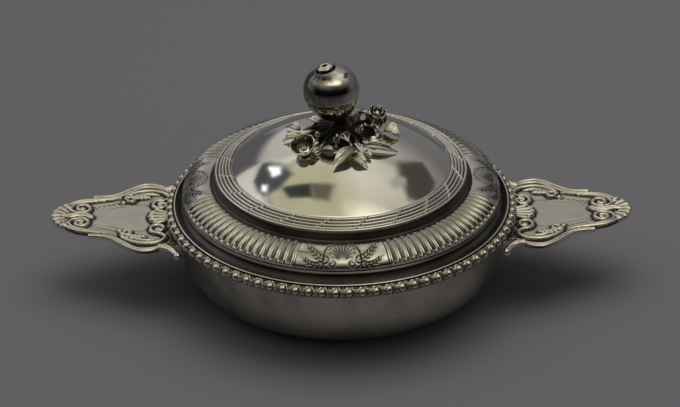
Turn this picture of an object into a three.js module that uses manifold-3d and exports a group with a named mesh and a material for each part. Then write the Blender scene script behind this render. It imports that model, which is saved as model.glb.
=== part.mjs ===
// Covered broth bowl with two flat cast handles, in raised, chased and cast silver.
// Millimetres, +Z up. The origin is the middle of the flat underside of the bowl.
// The handles lie along X, and the cover lifts straight up along Z.
import * as THREE from 'three';
import { mergeVertices } from 'three/addons/utils/BufferGeometryUtils.js';
import Module from 'manifold-3d';

const wasm = await Module();
wasm.setup();

// Shared values
const QUARTER = Math.PI / 2;
const DEGREE = Math.PI / 180;
const RING_SIDES = 48;
const SOLDER_GAP = 0.2;
const WIRE_CORNERS = 4;

// Bowl
const FOOT_R = 42;
const BELLY_SPREAD = 2.1;
const BELLY_H = 23.5;
const WALL_R = 83.3;
const WALL_TOP_Z = 39.5;
const WALL_T = 1.3;
const RIM_TOP_Z = 42.8;
const RIM_OUTER_R = 84.2;
const RIM_INNER_R = 81.0;
const RIM_BAND_H = 1.6;
const RIM_ROUND = 0.6;

// Cover, from its edge to its middle
const FLANGE_R = 86.0;
const FLANGE_T = 1.2;
const COVER_T = 1.1;
const COVER_FOOT_Z = RIM_TOP_Z + SOLDER_GAP;
const FLANGE_TOP_Z = COVER_FOOT_Z + FLANGE_T;
const HOLLOW_R = 79.9;
const HOLLOW_TOP_Z = 49.9;
const BAND_INNER_R = 64.7;
const BAND_TOP_Z = 57.6;
const NECK_R = 63.3;
const DOME_EDGE_R = 55.2;
const DOME_EDGE_Z = 65.7;
const DOME_SPHERE_R = 89;
const STUD_HOLE_R = 2.4;

// Fluting of the shoulder: four plain panels, and flutes between them
const PANEL_ANGLE = 34.5 * DEGREE;
const PANEL_SIDES = 6;
const FLUTES_PER_QUARTER = 18;
const FLUTE_SIDES = 3;
const FLUTE_DEPTH = 0.75;
const SHOULDER_MIDDLE_R = 70;
const SHOULDER_MIDDLE_Z = 47;

// Applied mouldings of the cover
const EGG_COUNT = 84;
const EGG_DEPTH = 0.9;
const OVOLO_FOOT_Z = 39.7;
const OVOLO_R = 87.2;
const OVOLO_H = 4.9;
const OVOLO_CLEARANCE = 1;
const EDGE_WIRE_R = 84.3;
const EDGE_WIRE_T = 1.5;
const BEAD_R = 62.75;
const BEAD_Z = 62.9;
const BEAD_T = 1.9;
const REED_COUNT = 4;
const REED_PITCH = 1.62;
const REED_OUTER_R = DOME_EDGE_R + REED_COUNT * REED_PITCH;
const TIE_COUNT = 20;
const TIE_OFFSET = 0.3;
const TIE_SWEEP = 8 * DEGREE;
const TIE_WIDTH = 1.6;
const REED_FOOT_Z = 62.6;
const REED_RISE = 3.1;
const REED_H = 0.9;
const VALLEY_H = 0.3;
const TIE_H = 0.35;
const BEZEL_R = 80.3;
const BEZEL_T = 1.1;
const BEZEL_DEPTH = 5.4;
const BEZEL_TAPER = 0.35;

// Handles, in plan, with x from the middle of the bowl
const HANDLE_TIP_X = 147.3;
const HANDLE_ROOT_X = 90;
const HANDLE_TOP_Z = 35.4;
const HANDLE_PLATE_T = 1.7;
const HANDLE_RISE = 0.035;
const SHELL_CENTRE_X = 134;
const SHELL_LOBES = 7;
const SHELL_REACH = 66 * DEGREE;
const SHELL_NOTCH = 0.8;
const FAN_PITCH = 3.1;
const FAN_END_X = 99.2;
const ROOT_VOLUTE_X = 92;
const ROOT_VOLUTE_Y = 11.6;
const ROOT_VOLUTE_R = 4.2;

// Finial: a round fruit that leans to the left over a spray of leaves and flowers
const DOME_TOP_Z = DOME_EDGE_Z - Math.sqrt(DOME_SPHERE_R ** 2 - DOME_EDGE_R ** 2) + DOME_SPHERE_R;
const FRUIT_R = 14;
const FRUIT_LEAN = 13 * DEGREE;
const FRUIT_FOOT_X = -0.6;
const FRUIT_FOOT_Z = 91.3;
const FRUIT_H = 28;
const CROWN_HOLLOW_R = 4.7;
const CROWN_SEAT_Z = 26.4;
const STUD_R = 2;
const NUT_FLATS = 7;
const NUT_H = 2.8;
const STUD_TAIL = 1.8;
const WASHER_R = 5.5;
const WASHER_T = 1;
const WASHER_TOP_Z = DOME_TOP_Z - COVER_T - 0.5;

// Spray on the dome. Places are x and y in plan, and the lift above the dome.
const LEAF_T = 0.7;
const LEAF_STEPS = 4;
const TWIG_R = 0.85;
const TWIG_START_R = 5.4;
const TWIG_SIDES = 5;
const PETALS = 5;
const TWIG_ENDS = [
  [-14.2, -13, 1.5], [-10.4, -17.4, 1.2], [-2.2, -17, 1.1], [5.4, -17.8, 2], [9.6, -17, 2.1],
  [12.6, -11.4, 1.4], [19.4, 1.6, 1.6], [16.6, 5.8, 4.2], [6.2, 12.6, 1.3], [-3.4, 11.5, 1.3],
  [-9.6, 5.2, 1.3], [-18.8, 1.6, 1.4], [-18.6, -4.6, 1.5],
];
// Leaf: name, base x, y and lift, tip x, y and lift, width, arch and cup
const LEAVES = [
  ['leaf_front_left', 5, -19.4, 2.4, -4.1, -32.6, 1.1, 7.5, 2.2, 0.9],
  ['leaf_front_right', 6.9, -21.6, 1.6, 13.3, -30.8, 1, 6.4, 1.2, 0.8],
  ['leaf_long_right', 10.8, -18.2, 2.4, 28.2, -15.4, 1.5, 4.6, 0.8, 1.2],
  ['leaf_front_upright', -1.9, -16.4, 2.3, -1.7, -14.6, 6.8, 3.6, 0.3, 0.4],
  ['leaf_centre', 0.4, -10.6, 4.4, 4.2, -16.8, 3.8, 5.6, 0.6, 0.5],
  ['leaf_front_low', -3.2, -18.4, 1.2, -8.8, -17.9, 1.3, 3.4, 0.6, 0.4],
  ['leaf_upright', 5.4, -2.6, 2.9, 8.8, -1.9, 12, 4.6, -0.6, 0.5],
  ['leaf_arched', 9.4, 1.6, 5.4, 15.2, -0.2, 9.8, 3.8, 3.2, 0.6],
  ['leaf_under_flower', 16.6, 2.4, 4.6, 18.9, -2.8, 3.4, 3.6, 0.5, 0.5],
  ['leaf_lower_right', 19.7, -1.6, 1.6, 17.9, -7.4, 1.3, 3.4, 0.8, 0.6],
  ['leaf_round_right', 21.6, 0.6, 1.6, 29.8, -1.2, 1.6, 10.4, 1, 1.5],
  ['leaf_right_small', 13.9, -12, 1.5, 20.8, -9.6, 1.4, 3.8, 0.6, 0.6],
  ['leaf_standing', 8.9, -8.4, 2.7, 10.8, -6.2, 7.2, 3.6, 0.3, 0.4],
  ['leaf_back_left', -3.8, 13, 1.3, -8.5, 24, 1.1, 7, 1.4, 0.9],
  ['leaf_back_right', 6.7, 14, 1.3, 7.8, 25, 1.1, 7, 1.4, 0.9],
  ['leaf_left_inner', -10.6, 6.2, 1.3, -17.4, 12.4, 2, 5, 1.2, 0.7],
  ['leaf_left_back', -20.2, 2.3, 1.4, -27.6, 10.5, 1.3, 5.6, 1.2, 0.8],
  ['leaf_left_side', -20, -5.2, 1.5, -28.8, -4.2, 1.4, 5.2, 1, 0.9],
];
// Flower and bud: name, x, y, lift, facing, radius and height
const FLOWERS = [
  ['flower_left', -17.8, -16.6, 1.3, [-0.2, -0.45, 0.87], 7.3, 4.8],
  ['flower_right', 17.8, 5.6, 5.6, [0.2, -0.35, 0.92], 5.3, 4.2],
];
const BUDS = [
  ['bud_front', -11.1, -19.7, 1.6, [-0.4, -0.85, 0.1], 1.6, 4],
  ['bud_right', 12.2, -20.2, 1.7, [0.6, -0.75, -0.1], 1.7, 5.4],
  ['bud_left', -10.8, -9.9, 2.9, [-0.3, -0.2, 0.9], 1.5, 3.4],
];

// Colours
const SILVER = 0xc9c6b8;
const SILVER_SHADED = 0xa9a69b;

const parts = new THREE.Group();

function addPart(name, geometry, color = SILVER, roughness = 0.28) {
  const material = new THREE.MeshStandardMaterial({ color, roughness, metalness: 1 });
  const mesh = new THREE.Mesh(geometry, material);
  mesh.name = name;
  parts.add(mesh);
  return mesh;
}

// Booleans

function closedMesh(geometry) {
  const bare = geometry.clone();
  bare.deleteAttribute('normal');
  bare.deleteAttribute('uv');
  return mergeVertices(bare, 1e-4);
}

function toSolid(geometry) {
  const merged = closedMesh(geometry);
  const vertProperties = new Float32Array(merged.attributes.position.array);
  const triVerts = new Uint32Array(merged.index.array);
  return new wasm.Manifold(new wasm.Mesh({ numProp: 3, vertProperties, triVerts }));
}

function toGeometry(solid) {
  const mesh = solid.getMesh();
  const geometry = new THREE.BufferGeometry();
  geometry.setAttribute('position', new THREE.BufferAttribute(new Float32Array(mesh.vertProperties), 3));
  geometry.setIndex(new THREE.BufferAttribute(new Uint32Array(mesh.triVerts), 1));
  geometry.computeVertexNormals();
  return geometry;
}

function joined(geometries) {
  return geometries.map(toSolid).reduce((whole, piece) => whole.add(piece));
}

// Turned pieces: a profile of [radius, height] pairs, anticlockwise with the metal inside it

function turned(profile, sides = RING_SIDES) {
  const points = profile.map(([r, z]) => new THREE.Vector2(r, z));
  return new THREE.LatheGeometry(points, sides).rotateX(QUARTER);
}

function turnedRing(profile, sides = RING_SIDES) {
  return turned([...profile, profile[0]], sides);
}

function curvePairs(curve, steps) {
  return curve.getPoints(steps).map((p) => [p.x, p.y]);
}

function wireRing(r, z, thickness) {
  const section = [];
  for (let i = 0; i < WIRE_CORNERS; i += 1) {
    const turn = (2 * Math.PI * (i + 0.5)) / WIRE_CORNERS - QUARTER;
    section.push([r + (thickness / 2) * Math.cos(turn), z + (thickness / 2) * Math.sin(turn)]);
  }
  return turnedRing(section);
}

// Rings with their own relief: each ring is a list of {angle, r, z} in order of angle.
// Neighbouring rings are stitched together even where one has more corners than the next.

function stitchedRings(unsorted) {
  const fullTurn = 2 * Math.PI;
  const rings = unsorted.map((ring) => ring
    .map((corner) => ({ ...corner, angle: (corner.angle + fullTurn) % fullTurn }))
    .sort((one, other) => one.angle - other.angle));
  const positions = [];
  const starts = [];
  for (const ring of rings) {
    starts.push(positions.length / 3);
    ring.forEach(({ angle, r, z }) => positions.push(r * Math.cos(angle), r * Math.sin(angle), z));
  }
  const index = [];
  rings.forEach((lower, n) => {
    const upperNumber = (n + 1) % rings.length;
    stitchPair(index, lower, starts[n], rings[upperNumber], starts[upperNumber]);
  });
  const geometry = new THREE.BufferGeometry();
  geometry.setAttribute('position', new THREE.Float32BufferAttribute(positions, 3));
  geometry.setIndex(index);
  geometry.computeVertexNormals();
  return geometry;
}

function stitchPair(index, lower, lowerStart, upper, upperStart) {
  const angleOf = (ring, i) => ring[i % ring.length].angle + (i >= ring.length ? 2 * Math.PI : 0);
  let a = 0;
  let b = 0;
  while (a < lower.length || b < upper.length) {
    const cornerA = lowerStart + (a % lower.length);
    const cornerB = upperStart + (b % upper.length);
    const middleA = angleOf(lower, a) + angleOf(lower, Math.min(a + 1, lower.length));
    const middleB = angleOf(upper, b) + angleOf(upper, Math.min(b + 1, upper.length));
    const stepLower = b >= upper.length || (a < lower.length && middleA <= middleB);
    if (stepLower) {
      a += 1;
      index.push(cornerA, lowerStart + (a % lower.length), cornerB);
    } else {
      b += 1;
      index.push(cornerA, upperStart + (b % upper.length), cornerB);
    }
  }
}

function plainRing(r, z, sides = RING_SIDES) {
  return Array.from({ length: sides }, (_, i) => ({ angle: (2 * Math.PI * i) / sides, r, z }));
}

// Bowl: a flat foot, a low belly that turns up into nearly straight walls, and a thickened rim

function bowl() {
  const belly = (r, bottom) => new THREE.CubicBezierCurve(
    new THREE.Vector2(FOOT_R, bottom),
    new THREE.Vector2(r + BELLY_SPREAD, bottom),
    new THREE.Vector2(r, BELLY_H),
    new THREE.Vector2(r, WALL_TOP_Z),
  );
  const outside = curvePairs(belly(WALL_R, 0), 7);
  const inside = curvePairs(belly(WALL_R - WALL_T, WALL_T), 5).reverse();
  return turned([
    [0, 0],
    ...outside,
    [RIM_OUTER_R, RIM_TOP_Z - RIM_BAND_H],
    [RIM_OUTER_R, RIM_TOP_Z - RIM_ROUND],
    [RIM_OUTER_R - RIM_ROUND, RIM_TOP_Z],
    [RIM_INNER_R, RIM_TOP_Z],
    [RIM_INNER_R, RIM_TOP_Z - RIM_BAND_H],
    ...inside,
    [0, WALL_T],
  ]);
}

// Cover: one raised sheet with a hollow edge moulding, a fluted shoulder, a neck and a dome

function fluteAngles() {
  const angles = [];
  const fluteAngle = (QUARTER - PANEL_ANGLE) / FLUTES_PER_QUARTER;
  for (let quarter = 0; quarter < 4; quarter += 1) {
    const panelStart = quarter * QUARTER - PANEL_ANGLE / 2;
    for (let i = 0; i < PANEL_SIDES; i += 1) {
      angles.push({ angle: panelStart + (PANEL_ANGLE * i) / PANEL_SIDES, depth: 0 });
    }
    const fluteStart = panelStart + PANEL_ANGLE;
    for (let i = 0; i < FLUTES_PER_QUARTER * FLUTE_SIDES; i += 1) {
      const depth = i % FLUTE_SIDES === 0 ? 0 : 1;
      angles.push({ angle: fluteStart + (fluteAngle * i) / FLUTE_SIDES, depth });
    }
  }
  return angles;
}

function fluteRing(r, z, sink) {
  const normal = new THREE.Vector2(r - SHOULDER_MIDDLE_R, z - SHOULDER_MIDDLE_Z).normalize();
  return fluteAngles().map(({ angle, depth }) => ({
    angle,
    r: r - normal.x * depth * sink,
    z: z - normal.y * depth * sink,
  }));
}

function domeProfile(sphereR, fromR, toR, steps) {
  const pairs = [];
  const centreZ = DOME_TOP_Z - DOME_SPHERE_R;
  const from = Math.asin(fromR / sphereR);
  const to = Math.asin(toR / sphereR);
  for (let i = 0; i <= steps; i += 1) {
    const tilt = from + ((to - from) * i) / steps;
    pairs.push([sphereR * Math.sin(tilt), centreZ + sphereR * Math.cos(tilt)]);
  }
  return pairs;
}

function coverShell() {
  const plain = ([r, z]) => plainRing(r, z);
  const edge = [
    [HOLLOW_R - COVER_T, COVER_FOOT_Z],
    [FLANGE_R, COVER_FOOT_Z],
    [FLANGE_R, FLANGE_TOP_Z],
    [82.9, FLANGE_TOP_Z],
    [81.2, 45.9],
    [HOLLOW_R, HOLLOW_TOP_Z - 1],
    [79.2, HOLLOW_TOP_Z],
  ];
  const flutes = [
    fluteRing(80.0, 51.6, 0.5 * FLUTE_DEPTH),
    fluteRing(79.1, 54.1, FLUTE_DEPTH),
    fluteRing(74.9, 57.2, 0.9 * FLUTE_DEPTH),
    fluteRing(69.4, 58.65, 0.5 * FLUTE_DEPTH),
  ];
  const neck = [
    [BAND_INNER_R + 1.1, 58.4],
    [BAND_INNER_R, BAND_TOP_Z],
    [NECK_R + 0.5, 58.4],
    [NECK_R, 61.3],
    [DOME_EDGE_R + 0.7, 64.4],
  ];
  const dome = domeProfile(DOME_SPHERE_R, DOME_EDGE_R, STUD_HOLE_R, 5);
  const underside = [
    ...domeProfile(DOME_SPHERE_R - COVER_T, STUD_HOLE_R, DOME_EDGE_R - 0.8, 4),
    [NECK_R - 1.4, 60.3],
    [NECK_R - 0.7, 57.6],
    [BAND_INNER_R + 0.1, 56.4],
    [70.0, 57.1],
    [75.0, 55.5],
    [78.2, 51.6],
  ];
  return stitchedRings([
    ...edge.map(plain),
    ...flutes,
    ...neck.map(plain),
    ...dome.map(plain),
    ...underside.map(plain),
  ]);
}

// Ovolo border: a cast strip of eggs and darts soldered round the flange and hanging over the joint

function ovoloBorder() {
  const sides = 2 * EGG_COUNT;
  const relief = (r, z, swell) => plainRing(r, z, sides).map((corner, i) => ({
    ...corner,
    r: r + (i % 2 === 0 ? 0 : swell * EGG_DEPTH),
  }));
  const seatR = FLANGE_R + SOLDER_GAP;
  const seatZ = COVER_FOOT_Z - SOLDER_GAP;
  const innerR = RIM_OUTER_R + OVOLO_CLEARANCE;
  return stitchedRings([
    plainRing(innerR, OVOLO_FOOT_Z + 0.2),
    plainRing(OVOLO_R, OVOLO_FOOT_Z),
    relief(OVOLO_R + 0.7, OVOLO_FOOT_Z + 0.8, 0.5),
    relief(OVOLO_R + 0.9, OVOLO_FOOT_Z + 2.7, 1),
    relief(OVOLO_R + 0.4, OVOLO_FOOT_Z + 4.1, 0.6),
    plainRing(OVOLO_R - 0.2, OVOLO_FOOT_Z + OVOLO_H),
    plainRing(seatR, OVOLO_FOOT_Z + OVOLO_H),
    plainRing(seatR, seatZ),
    plainRing(innerR, seatZ),
  ]);
}

// Reed-and-tie moulding: concentric reeds, crossed by slanting ribbons, between the neck and the dome

function reedSlope(r) {
  const inward = (REED_OUTER_R - r) / (REED_OUTER_R - DOME_EDGE_R);
  return REED_FOOT_Z + REED_RISE * inward;
}

function reedRing(r, z, swell) {
  const inward = (REED_OUTER_R - r) / (REED_OUTER_R - DOME_EDGE_R);
  const halfTie = TIE_WIDTH / 2 / r;
  const tieStep = (2 * Math.PI) / TIE_COUNT;
  const corners = [];
  for (let i = 0; i < TIE_COUNT; i += 1) {
    const tie = tieStep * (i + TIE_OFFSET) + TIE_SWEEP * inward;
    corners.push({ angle: tie - halfTie, r, z });
    corners.push({ angle: tie, r, z: z + swell });
    corners.push({ angle: tie + halfTie, r, z });
    corners.push({ angle: tie + tieStep / 2, r, z });
  }
  return corners;
}

function reedBand() {
  const top = [];
  for (let i = 0; i < REED_COUNT; i += 1) {
    const crest = REED_OUTER_R - (i + 0.5) * REED_PITCH;
    const valley = crest - REED_PITCH / 2;
    top.push(reedRing(crest, reedSlope(crest) + REED_H, TIE_H));
    if (i < REED_COUNT - 1) {
      top.push(reedRing(valley, reedSlope(valley) + VALLEY_H, REED_H - VALLEY_H + TIE_H));
    }
  }
  const innerR = DOME_EDGE_R + 0.5;
  return stitchedRings([
    plainRing(innerR, reedSlope(innerR) - 0.35),
    plainRing(REED_OUTER_R, reedSlope(REED_OUTER_R) - 0.2),
    plainRing(REED_OUTER_R, reedSlope(REED_OUTER_R) + VALLEY_H),
    ...top,
    plainRing(innerR, reedSlope(innerR) + VALLEY_H),
  ]);
}

function coverBezel() {
  const top = COVER_FOOT_Z - SOLDER_GAP;
  return turnedRing([
    [BEZEL_R - BEZEL_T, top - BEZEL_DEPTH],
    [BEZEL_R - BEZEL_TAPER, top - BEZEL_DEPTH],
    [BEZEL_R, top],
    [BEZEL_R - BEZEL_T, top],
  ]);
}

// Handles: a flat cast plate with scrolled borders, a fan at the root and a fluted shell at the tip

function plateOutline() {
  const half = [
    [76, 25], [88.6, 27], [91.6, 31.6], [95.5, 34.4], [100.5, 34.6], [105.5, 32],
    [110.5, 27.4], [115.2, 23], [120, 20.6],
  ];
  const corner = [[126.6, 20.3], [127.4, 17.8]];
  const shoulder = [[127.4, 17.8], [133, 16.9], [138.4, 13.2]];
  const smooth = (pairs, steps) => {
    const curve = new THREE.SplineCurve(pairs.map(([x, y]) => new THREE.Vector2(x, y)));
    return curvePairs(curve, steps);
  };
  const upper = [...smooth(half, 13), ...corner, ...smooth(shoulder, 3).slice(1), ...shellEdge()];
  const lower = upper.filter(([, y]) => y > 1e-6).map(([x, y]) => [x, -y]).reverse();
  return new THREE.Shape([...upper, ...lower].map(([x, y]) => new THREE.Vector2(x, y)));
}

function shellEdge() {
  const radius = HANDLE_TIP_X - SHELL_CENTRE_X;
  const pairs = [];
  const steps = SHELL_LOBES * 2;
  for (let i = 0; i <= steps / 2; i += 1) {
    const turn = SHELL_REACH * (1 - (2 * i) / steps);
    const lobe = i % 2 === SHELL_LOBES % 2 ? 0 : -SHELL_NOTCH;
    pairs.push([SHELL_CENTRE_X + (radius + lobe) * Math.cos(turn), (radius + lobe) * Math.sin(turn)]);
  }
  return pairs;
}

function strand(points, width, height, steps) {
  const path = new THREE.CatmullRomCurve3(points.map(([x, y]) => new THREE.Vector3(x, y, HANDLE_TOP_Z)));
  const section = new THREE.Shape();
  section.moveTo(0.8, -width / 2);
  section.lineTo(0.8, width / 2);
  section.lineTo(-0.7 * height, 0.3 * width);
  section.lineTo(-0.7 * height, -0.3 * width);
  return new THREE.ExtrudeGeometry(section, { steps, bevelEnabled: false, extrudePath: path });
}

function volutePoints(x, y, startTurn, turns, outer, inner, count) {
  return Array.from({ length: count }, (_, i) => {
    const t = i / (count - 1);
    const turn = startTurn + 2 * Math.PI * turns * t;
    const r = THREE.MathUtils.lerp(outer, inner, t);
    return [x + r * Math.cos(turn), y + r * Math.sin(turn)];
  });
}

function handleHalf(side) {
  const mirrored = (pairs) => pairs.map(([x, y]) => [x, side * y]);
  const outerReed = [
    [90.8, 29], [93.4, 32.2], [98.5, 33.6], [104.5, 31.2],
    [110.5, 25.9], [116, 21.2], [121, 19.2], [126, 19],
  ];
  const scroll = [
    [89.2, 15], [90.2, 20.5], [94, 25], [99.5, 26.4],
    [105, 24.4], [109.2, 20.4], [109.6, 16.4], [107.6, 15.2],
  ];
  const tipScroll = [
    [112.5, 20.6], [118, 17], [125, 15.8], [132, 15.6], [137.6, 12.4], [139.4, 8],
    ...volutePoints(133.4, 7.6, -0.2, -0.9, 4.4, 1.6, 6),
  ];
  const bracket = [[90.5, 28.6], [86.8, 30.5], [83.2, 34.5], [80.6, 38.6]];
  return [
    strand(mirrored(outerReed), 2.2, 1.9, 7),
    strand(mirrored(scroll), 2.4, 2.2, 8),
    strand(mirrored(tipScroll), 2.2, 2.0, 11),
    strand(mirrored(bracket), 4.2, 0.6, 2),
    rootVolute(side),
  ];
}

function rootVolute(side) {
  return new THREE.SphereGeometry(ROOT_VOLUTE_R, 8, 6)
    .rotateX(QUARTER)
    .scale(1, 0.9, 0.38)
    .translate(ROOT_VOLUTE_X, side * ROOT_VOLUTE_Y, HANDLE_TOP_Z);
}

function fanRibs() {
  const ribs = [];
  for (let i = -2; i <= 2; i += 1) {
    const y = FAN_PITCH * i;
    ribs.push(strand([[WALL_R, 0.9 * y], [FAN_END_X - 0.4 * i * i, y]], 2.5, 2.1, 1));
  }
  return ribs;
}

function shellRibs() {
  const ribs = [];
  const lobes = (SHELL_LOBES - 1) / 2;
  for (let i = -lobes + 1; i <= lobes - 1; i += 1) {
    const turn = (i * SHELL_REACH) / lobes;
    const from = [SHELL_CENTRE_X + 3.6 * Math.cos(turn), 4.6 * Math.sin(turn)];
    const to = [SHELL_CENTRE_X + 12.4 * Math.cos(turn), 12.4 * Math.sin(turn)];
    ribs.push(strand([from, to], 2.4, 1.7, 1));
  }
  return ribs;
}

function handle() {
  const plate = new THREE.ExtrudeGeometry(plateOutline(), { depth: HANDLE_PLATE_T, bevelEnabled: false });
  plate.translate(0, 0, HANDLE_TOP_Z - HANDLE_PLATE_T);
  const casting = joined([plate, ...handleHalf(1), ...handleHalf(-1), ...fanRibs(), ...shellRibs()]);
  const spaceR = WALL_R + SOLDER_GAP;
  const bowlSpace = turned([[0, 0], [spaceR, 0], [spaceR, RIM_TOP_Z], [0, RIM_TOP_Z]]);
  const geometry = toGeometry(casting.subtract(toSolid(bowlSpace)));
  const position = geometry.attributes.position;
  for (let i = 0; i < position.count; i += 1) {
    position.setZ(i, position.getZ(i) + HANDLE_RISE * (position.getX(i) - HANDLE_ROOT_X));
  }
  return geometry;
}

// Spray: leaves and flowers cast one by one and soldered to the twigs of a knot on the dome

function onDome(x, y, lift) {
  const centreZ = DOME_TOP_Z - DOME_SPHERE_R;
  return new THREE.Vector3(x, y, centreZ + Math.sqrt(DOME_SPHERE_R ** 2 - x * x - y * y) + lift);
}

function leaf({ base, tip, width, arch, cup }) {
  const along = new THREE.Vector3().subVectors(tip, base);
  const middle = new THREE.Vector3().addVectors(base, tip).multiplyScalar(0.5);
  const domeUp = new THREE.Vector3(middle.x / DOME_SPHERE_R, middle.y / DOME_SPHERE_R, 1);
  const side = new THREE.Vector3().crossVectors(domeUp, along).normalize();
  const up = new THREE.Vector3().crossVectors(along, side).normalize();
  const top = [];
  const under = [];
  for (let i = 0; i <= LEAF_STEPS; i += 1) {
    const t = i / LEAF_STEPS;
    const half = (width / 2) * Math.sin(Math.PI * (0.06 + 0.92 * t) ** 0.8);
    const rise = arch * Math.sin(Math.PI * t);
    for (const across of [-1, 0, 1]) {
      const lift = rise + (across === 0 ? 0 : cup * (half / width) * 2);
      const point = base.clone().addScaledVector(along, t);
      point.addScaledVector(side, across * half).addScaledVector(up, lift);
      top.push(point);
      under.push(point.clone().addScaledVector(up, -LEAF_T));
    }
  }
  return sheetBody(top, under, 3);
}

// A thin closed body between an upper and a lower sheet of points, each with the same row length
function sheetBody(top, under, rowLength) {
  const index = [];
  const rows = top.length / rowLength;
  const offset = top.length;
  const quad = (a, b, c, d) => index.push(a, b, c, a, c, d);
  for (let row = 0; row < rows - 1; row += 1) {
    const first = row * rowLength;
    const next = first + rowLength;
    for (let i = 0; i < rowLength - 1; i += 1) {
      quad(first + i, next + i, next + i + 1, first + i + 1);
      quad(offset + first + i, offset + first + i + 1, offset + next + i + 1, offset + next + i);
    }
    const last = rowLength - 1;
    quad(offset + first, offset + next, next, first);
    quad(first + last, next + last, offset + next + last, offset + first + last);
  }
  const end = (rows - 1) * rowLength;
  for (let i = 0; i < rowLength - 1; i += 1) {
    quad(i, i + 1, offset + i + 1, offset + i);
    quad(end + i + 1, end + i, offset + end + i, offset + end + i + 1);
  }
  const positions = [...top, ...under].flatMap((p) => [p.x, p.y, p.z]);
  const geometry = new THREE.BufferGeometry();
  geometry.setAttribute('position', new THREE.Float32BufferAttribute(positions, 3));
  geometry.setIndex(index);
  geometry.computeVertexNormals();
  return geometry;
}

// Turned shapes are stood on a point of the dome and leaned along a direction
function stood(geometry, point, direction) {
  const turn = new THREE.Quaternion().setFromUnitVectors(
    new THREE.Vector3(0, 0, 1),
    new THREE.Vector3(...direction).normalize(),
  );
  return geometry.applyQuaternion(turn).translate(point.x, point.y, point.z);
}

function petalCup(radius, height) {
  const cup = turned([
    [0, 0], [0.45 * radius, 0.05 * height], [0.85 * radius, 0.5 * height], [radius, height],
    [radius - 0.9, height], [0.6 * radius, 0.55 * height], [0, 0.4 * height],
  ], PETALS * 2);
  const position = cup.attributes.position;
  for (let i = 0; i < position.count; i += 1) {
    const turn = Math.atan2(position.getY(i), position.getX(i));
    const notch = 1 - 0.09 * (1 - Math.cos(PETALS * turn)) * (position.getZ(i) / height);
    position.setXY(i, position.getX(i) * notch, position.getY(i) * notch);
  }
  return cup;
}

function budShape(radius, length) {
  return turned([[0, 0], [0.7 * radius, 0.1 * length], [radius, 0.4 * length], [0.6 * radius, 0.8 * length],
    [0, length]], 8);
}

function leafKnot() {
  const crown = turned([
    [STUD_HOLE_R, DOME_TOP_Z + SOLDER_GAP],
    [8, DOME_TOP_Z - 0.36 + SOLDER_GAP],
    [7, DOME_TOP_Z + 1.9],
    [3.1, DOME_TOP_Z + 3.2],
    [2.6, FRUIT_FOOT_Z - SOLDER_GAP],
    [0, FRUIT_FOOT_Z - SOLDER_GAP],
    [0, DOME_TOP_Z + 3.3],
    [STUD_HOLE_R, DOME_TOP_Z + 3.3],
    [STUD_HOLE_R, DOME_TOP_Z + SOLDER_GAP],
  ], 12);
  const twigs = TWIG_ENDS.map(([x, y, lift]) => twig(x, y, lift));
  return toGeometry(joined([crown, ...twigs]));
}

function twig(x, y, lift) {
  const start = TWIG_START_R / Math.hypot(x, y);
  const path = new THREE.QuadraticBezierCurve3(
    onDome(start * x, start * y, 1.2),
    onDome(0.6 * x, 0.6 * y, 1.3 + 0.3 * lift),
    onDome(x, y, lift),
  );
  const section = new THREE.Shape();
  for (let i = 0; i < TWIG_SIDES; i += 1) {
    const turn = (2 * Math.PI * i) / TWIG_SIDES;
    section[i === 0 ? 'moveTo' : 'lineTo'](TWIG_R * Math.cos(turn), TWIG_R * Math.sin(turn));
  }
  return new THREE.ExtrudeGeometry(section, { steps: 2, bevelEnabled: false, extrudePath: path });
}

function fruit() {
  const profile = new THREE.SplineCurve([
    [0, 0], [4.5, 0.8], [8.8, 4], [11.8, 8.4], [13.6, 12.6], [FRUIT_R, 16.4], [13.2, 21],
    [10.6, 25.2], [CROWN_HOLLOW_R + 0.4, FRUIT_H],
  ].map(([r, z]) => new THREE.Vector2(r, z)));
  const hollow = [[CROWN_HOLLOW_R, FRUIT_H], [CROWN_HOLLOW_R - 0.4, CROWN_SEAT_Z], [0, CROWN_SEAT_Z]];
  return turned([[0, 0], ...curvePairs(profile, 10).slice(1), ...hollow], 18);
}

function fruitCrown() {
  return turned([
    [0, 0], [2.6, 0], [2.7, 1.6], [3.5, 1.9], [3.9, 2.4], [3.5, 2.9], [1, 2.7], [1, 1], [0, 1],
  ], 12);
}

function stud() {
  const foot = WASHER_TOP_Z - WASHER_T - NUT_H - STUD_TAIL;
  return turned([[0, foot], [STUD_R - 0.5, foot], [STUD_R, foot + 0.6], [STUD_R, DOME_TOP_Z + 2.6],
    [0, DOME_TOP_Z + 3.1]], 12);
}

function washer() {
  return turnedRing([
    [STUD_R + 0.2, WASHER_TOP_Z - WASHER_T],
    [WASHER_R, WASHER_TOP_Z - WASHER_T],
    [WASHER_R, WASHER_TOP_Z],
    [STUD_R + 0.2, WASHER_TOP_Z],
  ], 16);
}

function nut() {
  const top = WASHER_TOP_Z - WASHER_T - SOLDER_GAP;
  const flats = new THREE.Shape();
  const corner = NUT_FLATS / 2 / Math.cos(Math.PI / 6);
  for (let i = 0; i < 6; i += 1) {
    const turn = (Math.PI * i) / 3;
    flats[i === 0 ? 'moveTo' : 'lineTo'](corner * Math.cos(turn), corner * Math.sin(turn));
  }
  const bore = new THREE.Path().absarc(0, 0, STUD_R + 0.1, 0, 2 * Math.PI, true);
  flats.holes.push(bore);
  const body = new THREE.ExtrudeGeometry(flats, { depth: NUT_H, bevelEnabled: false, curveSegments: 12 });
  return body.translate(0, 0, top - NUT_H);
}

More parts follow.
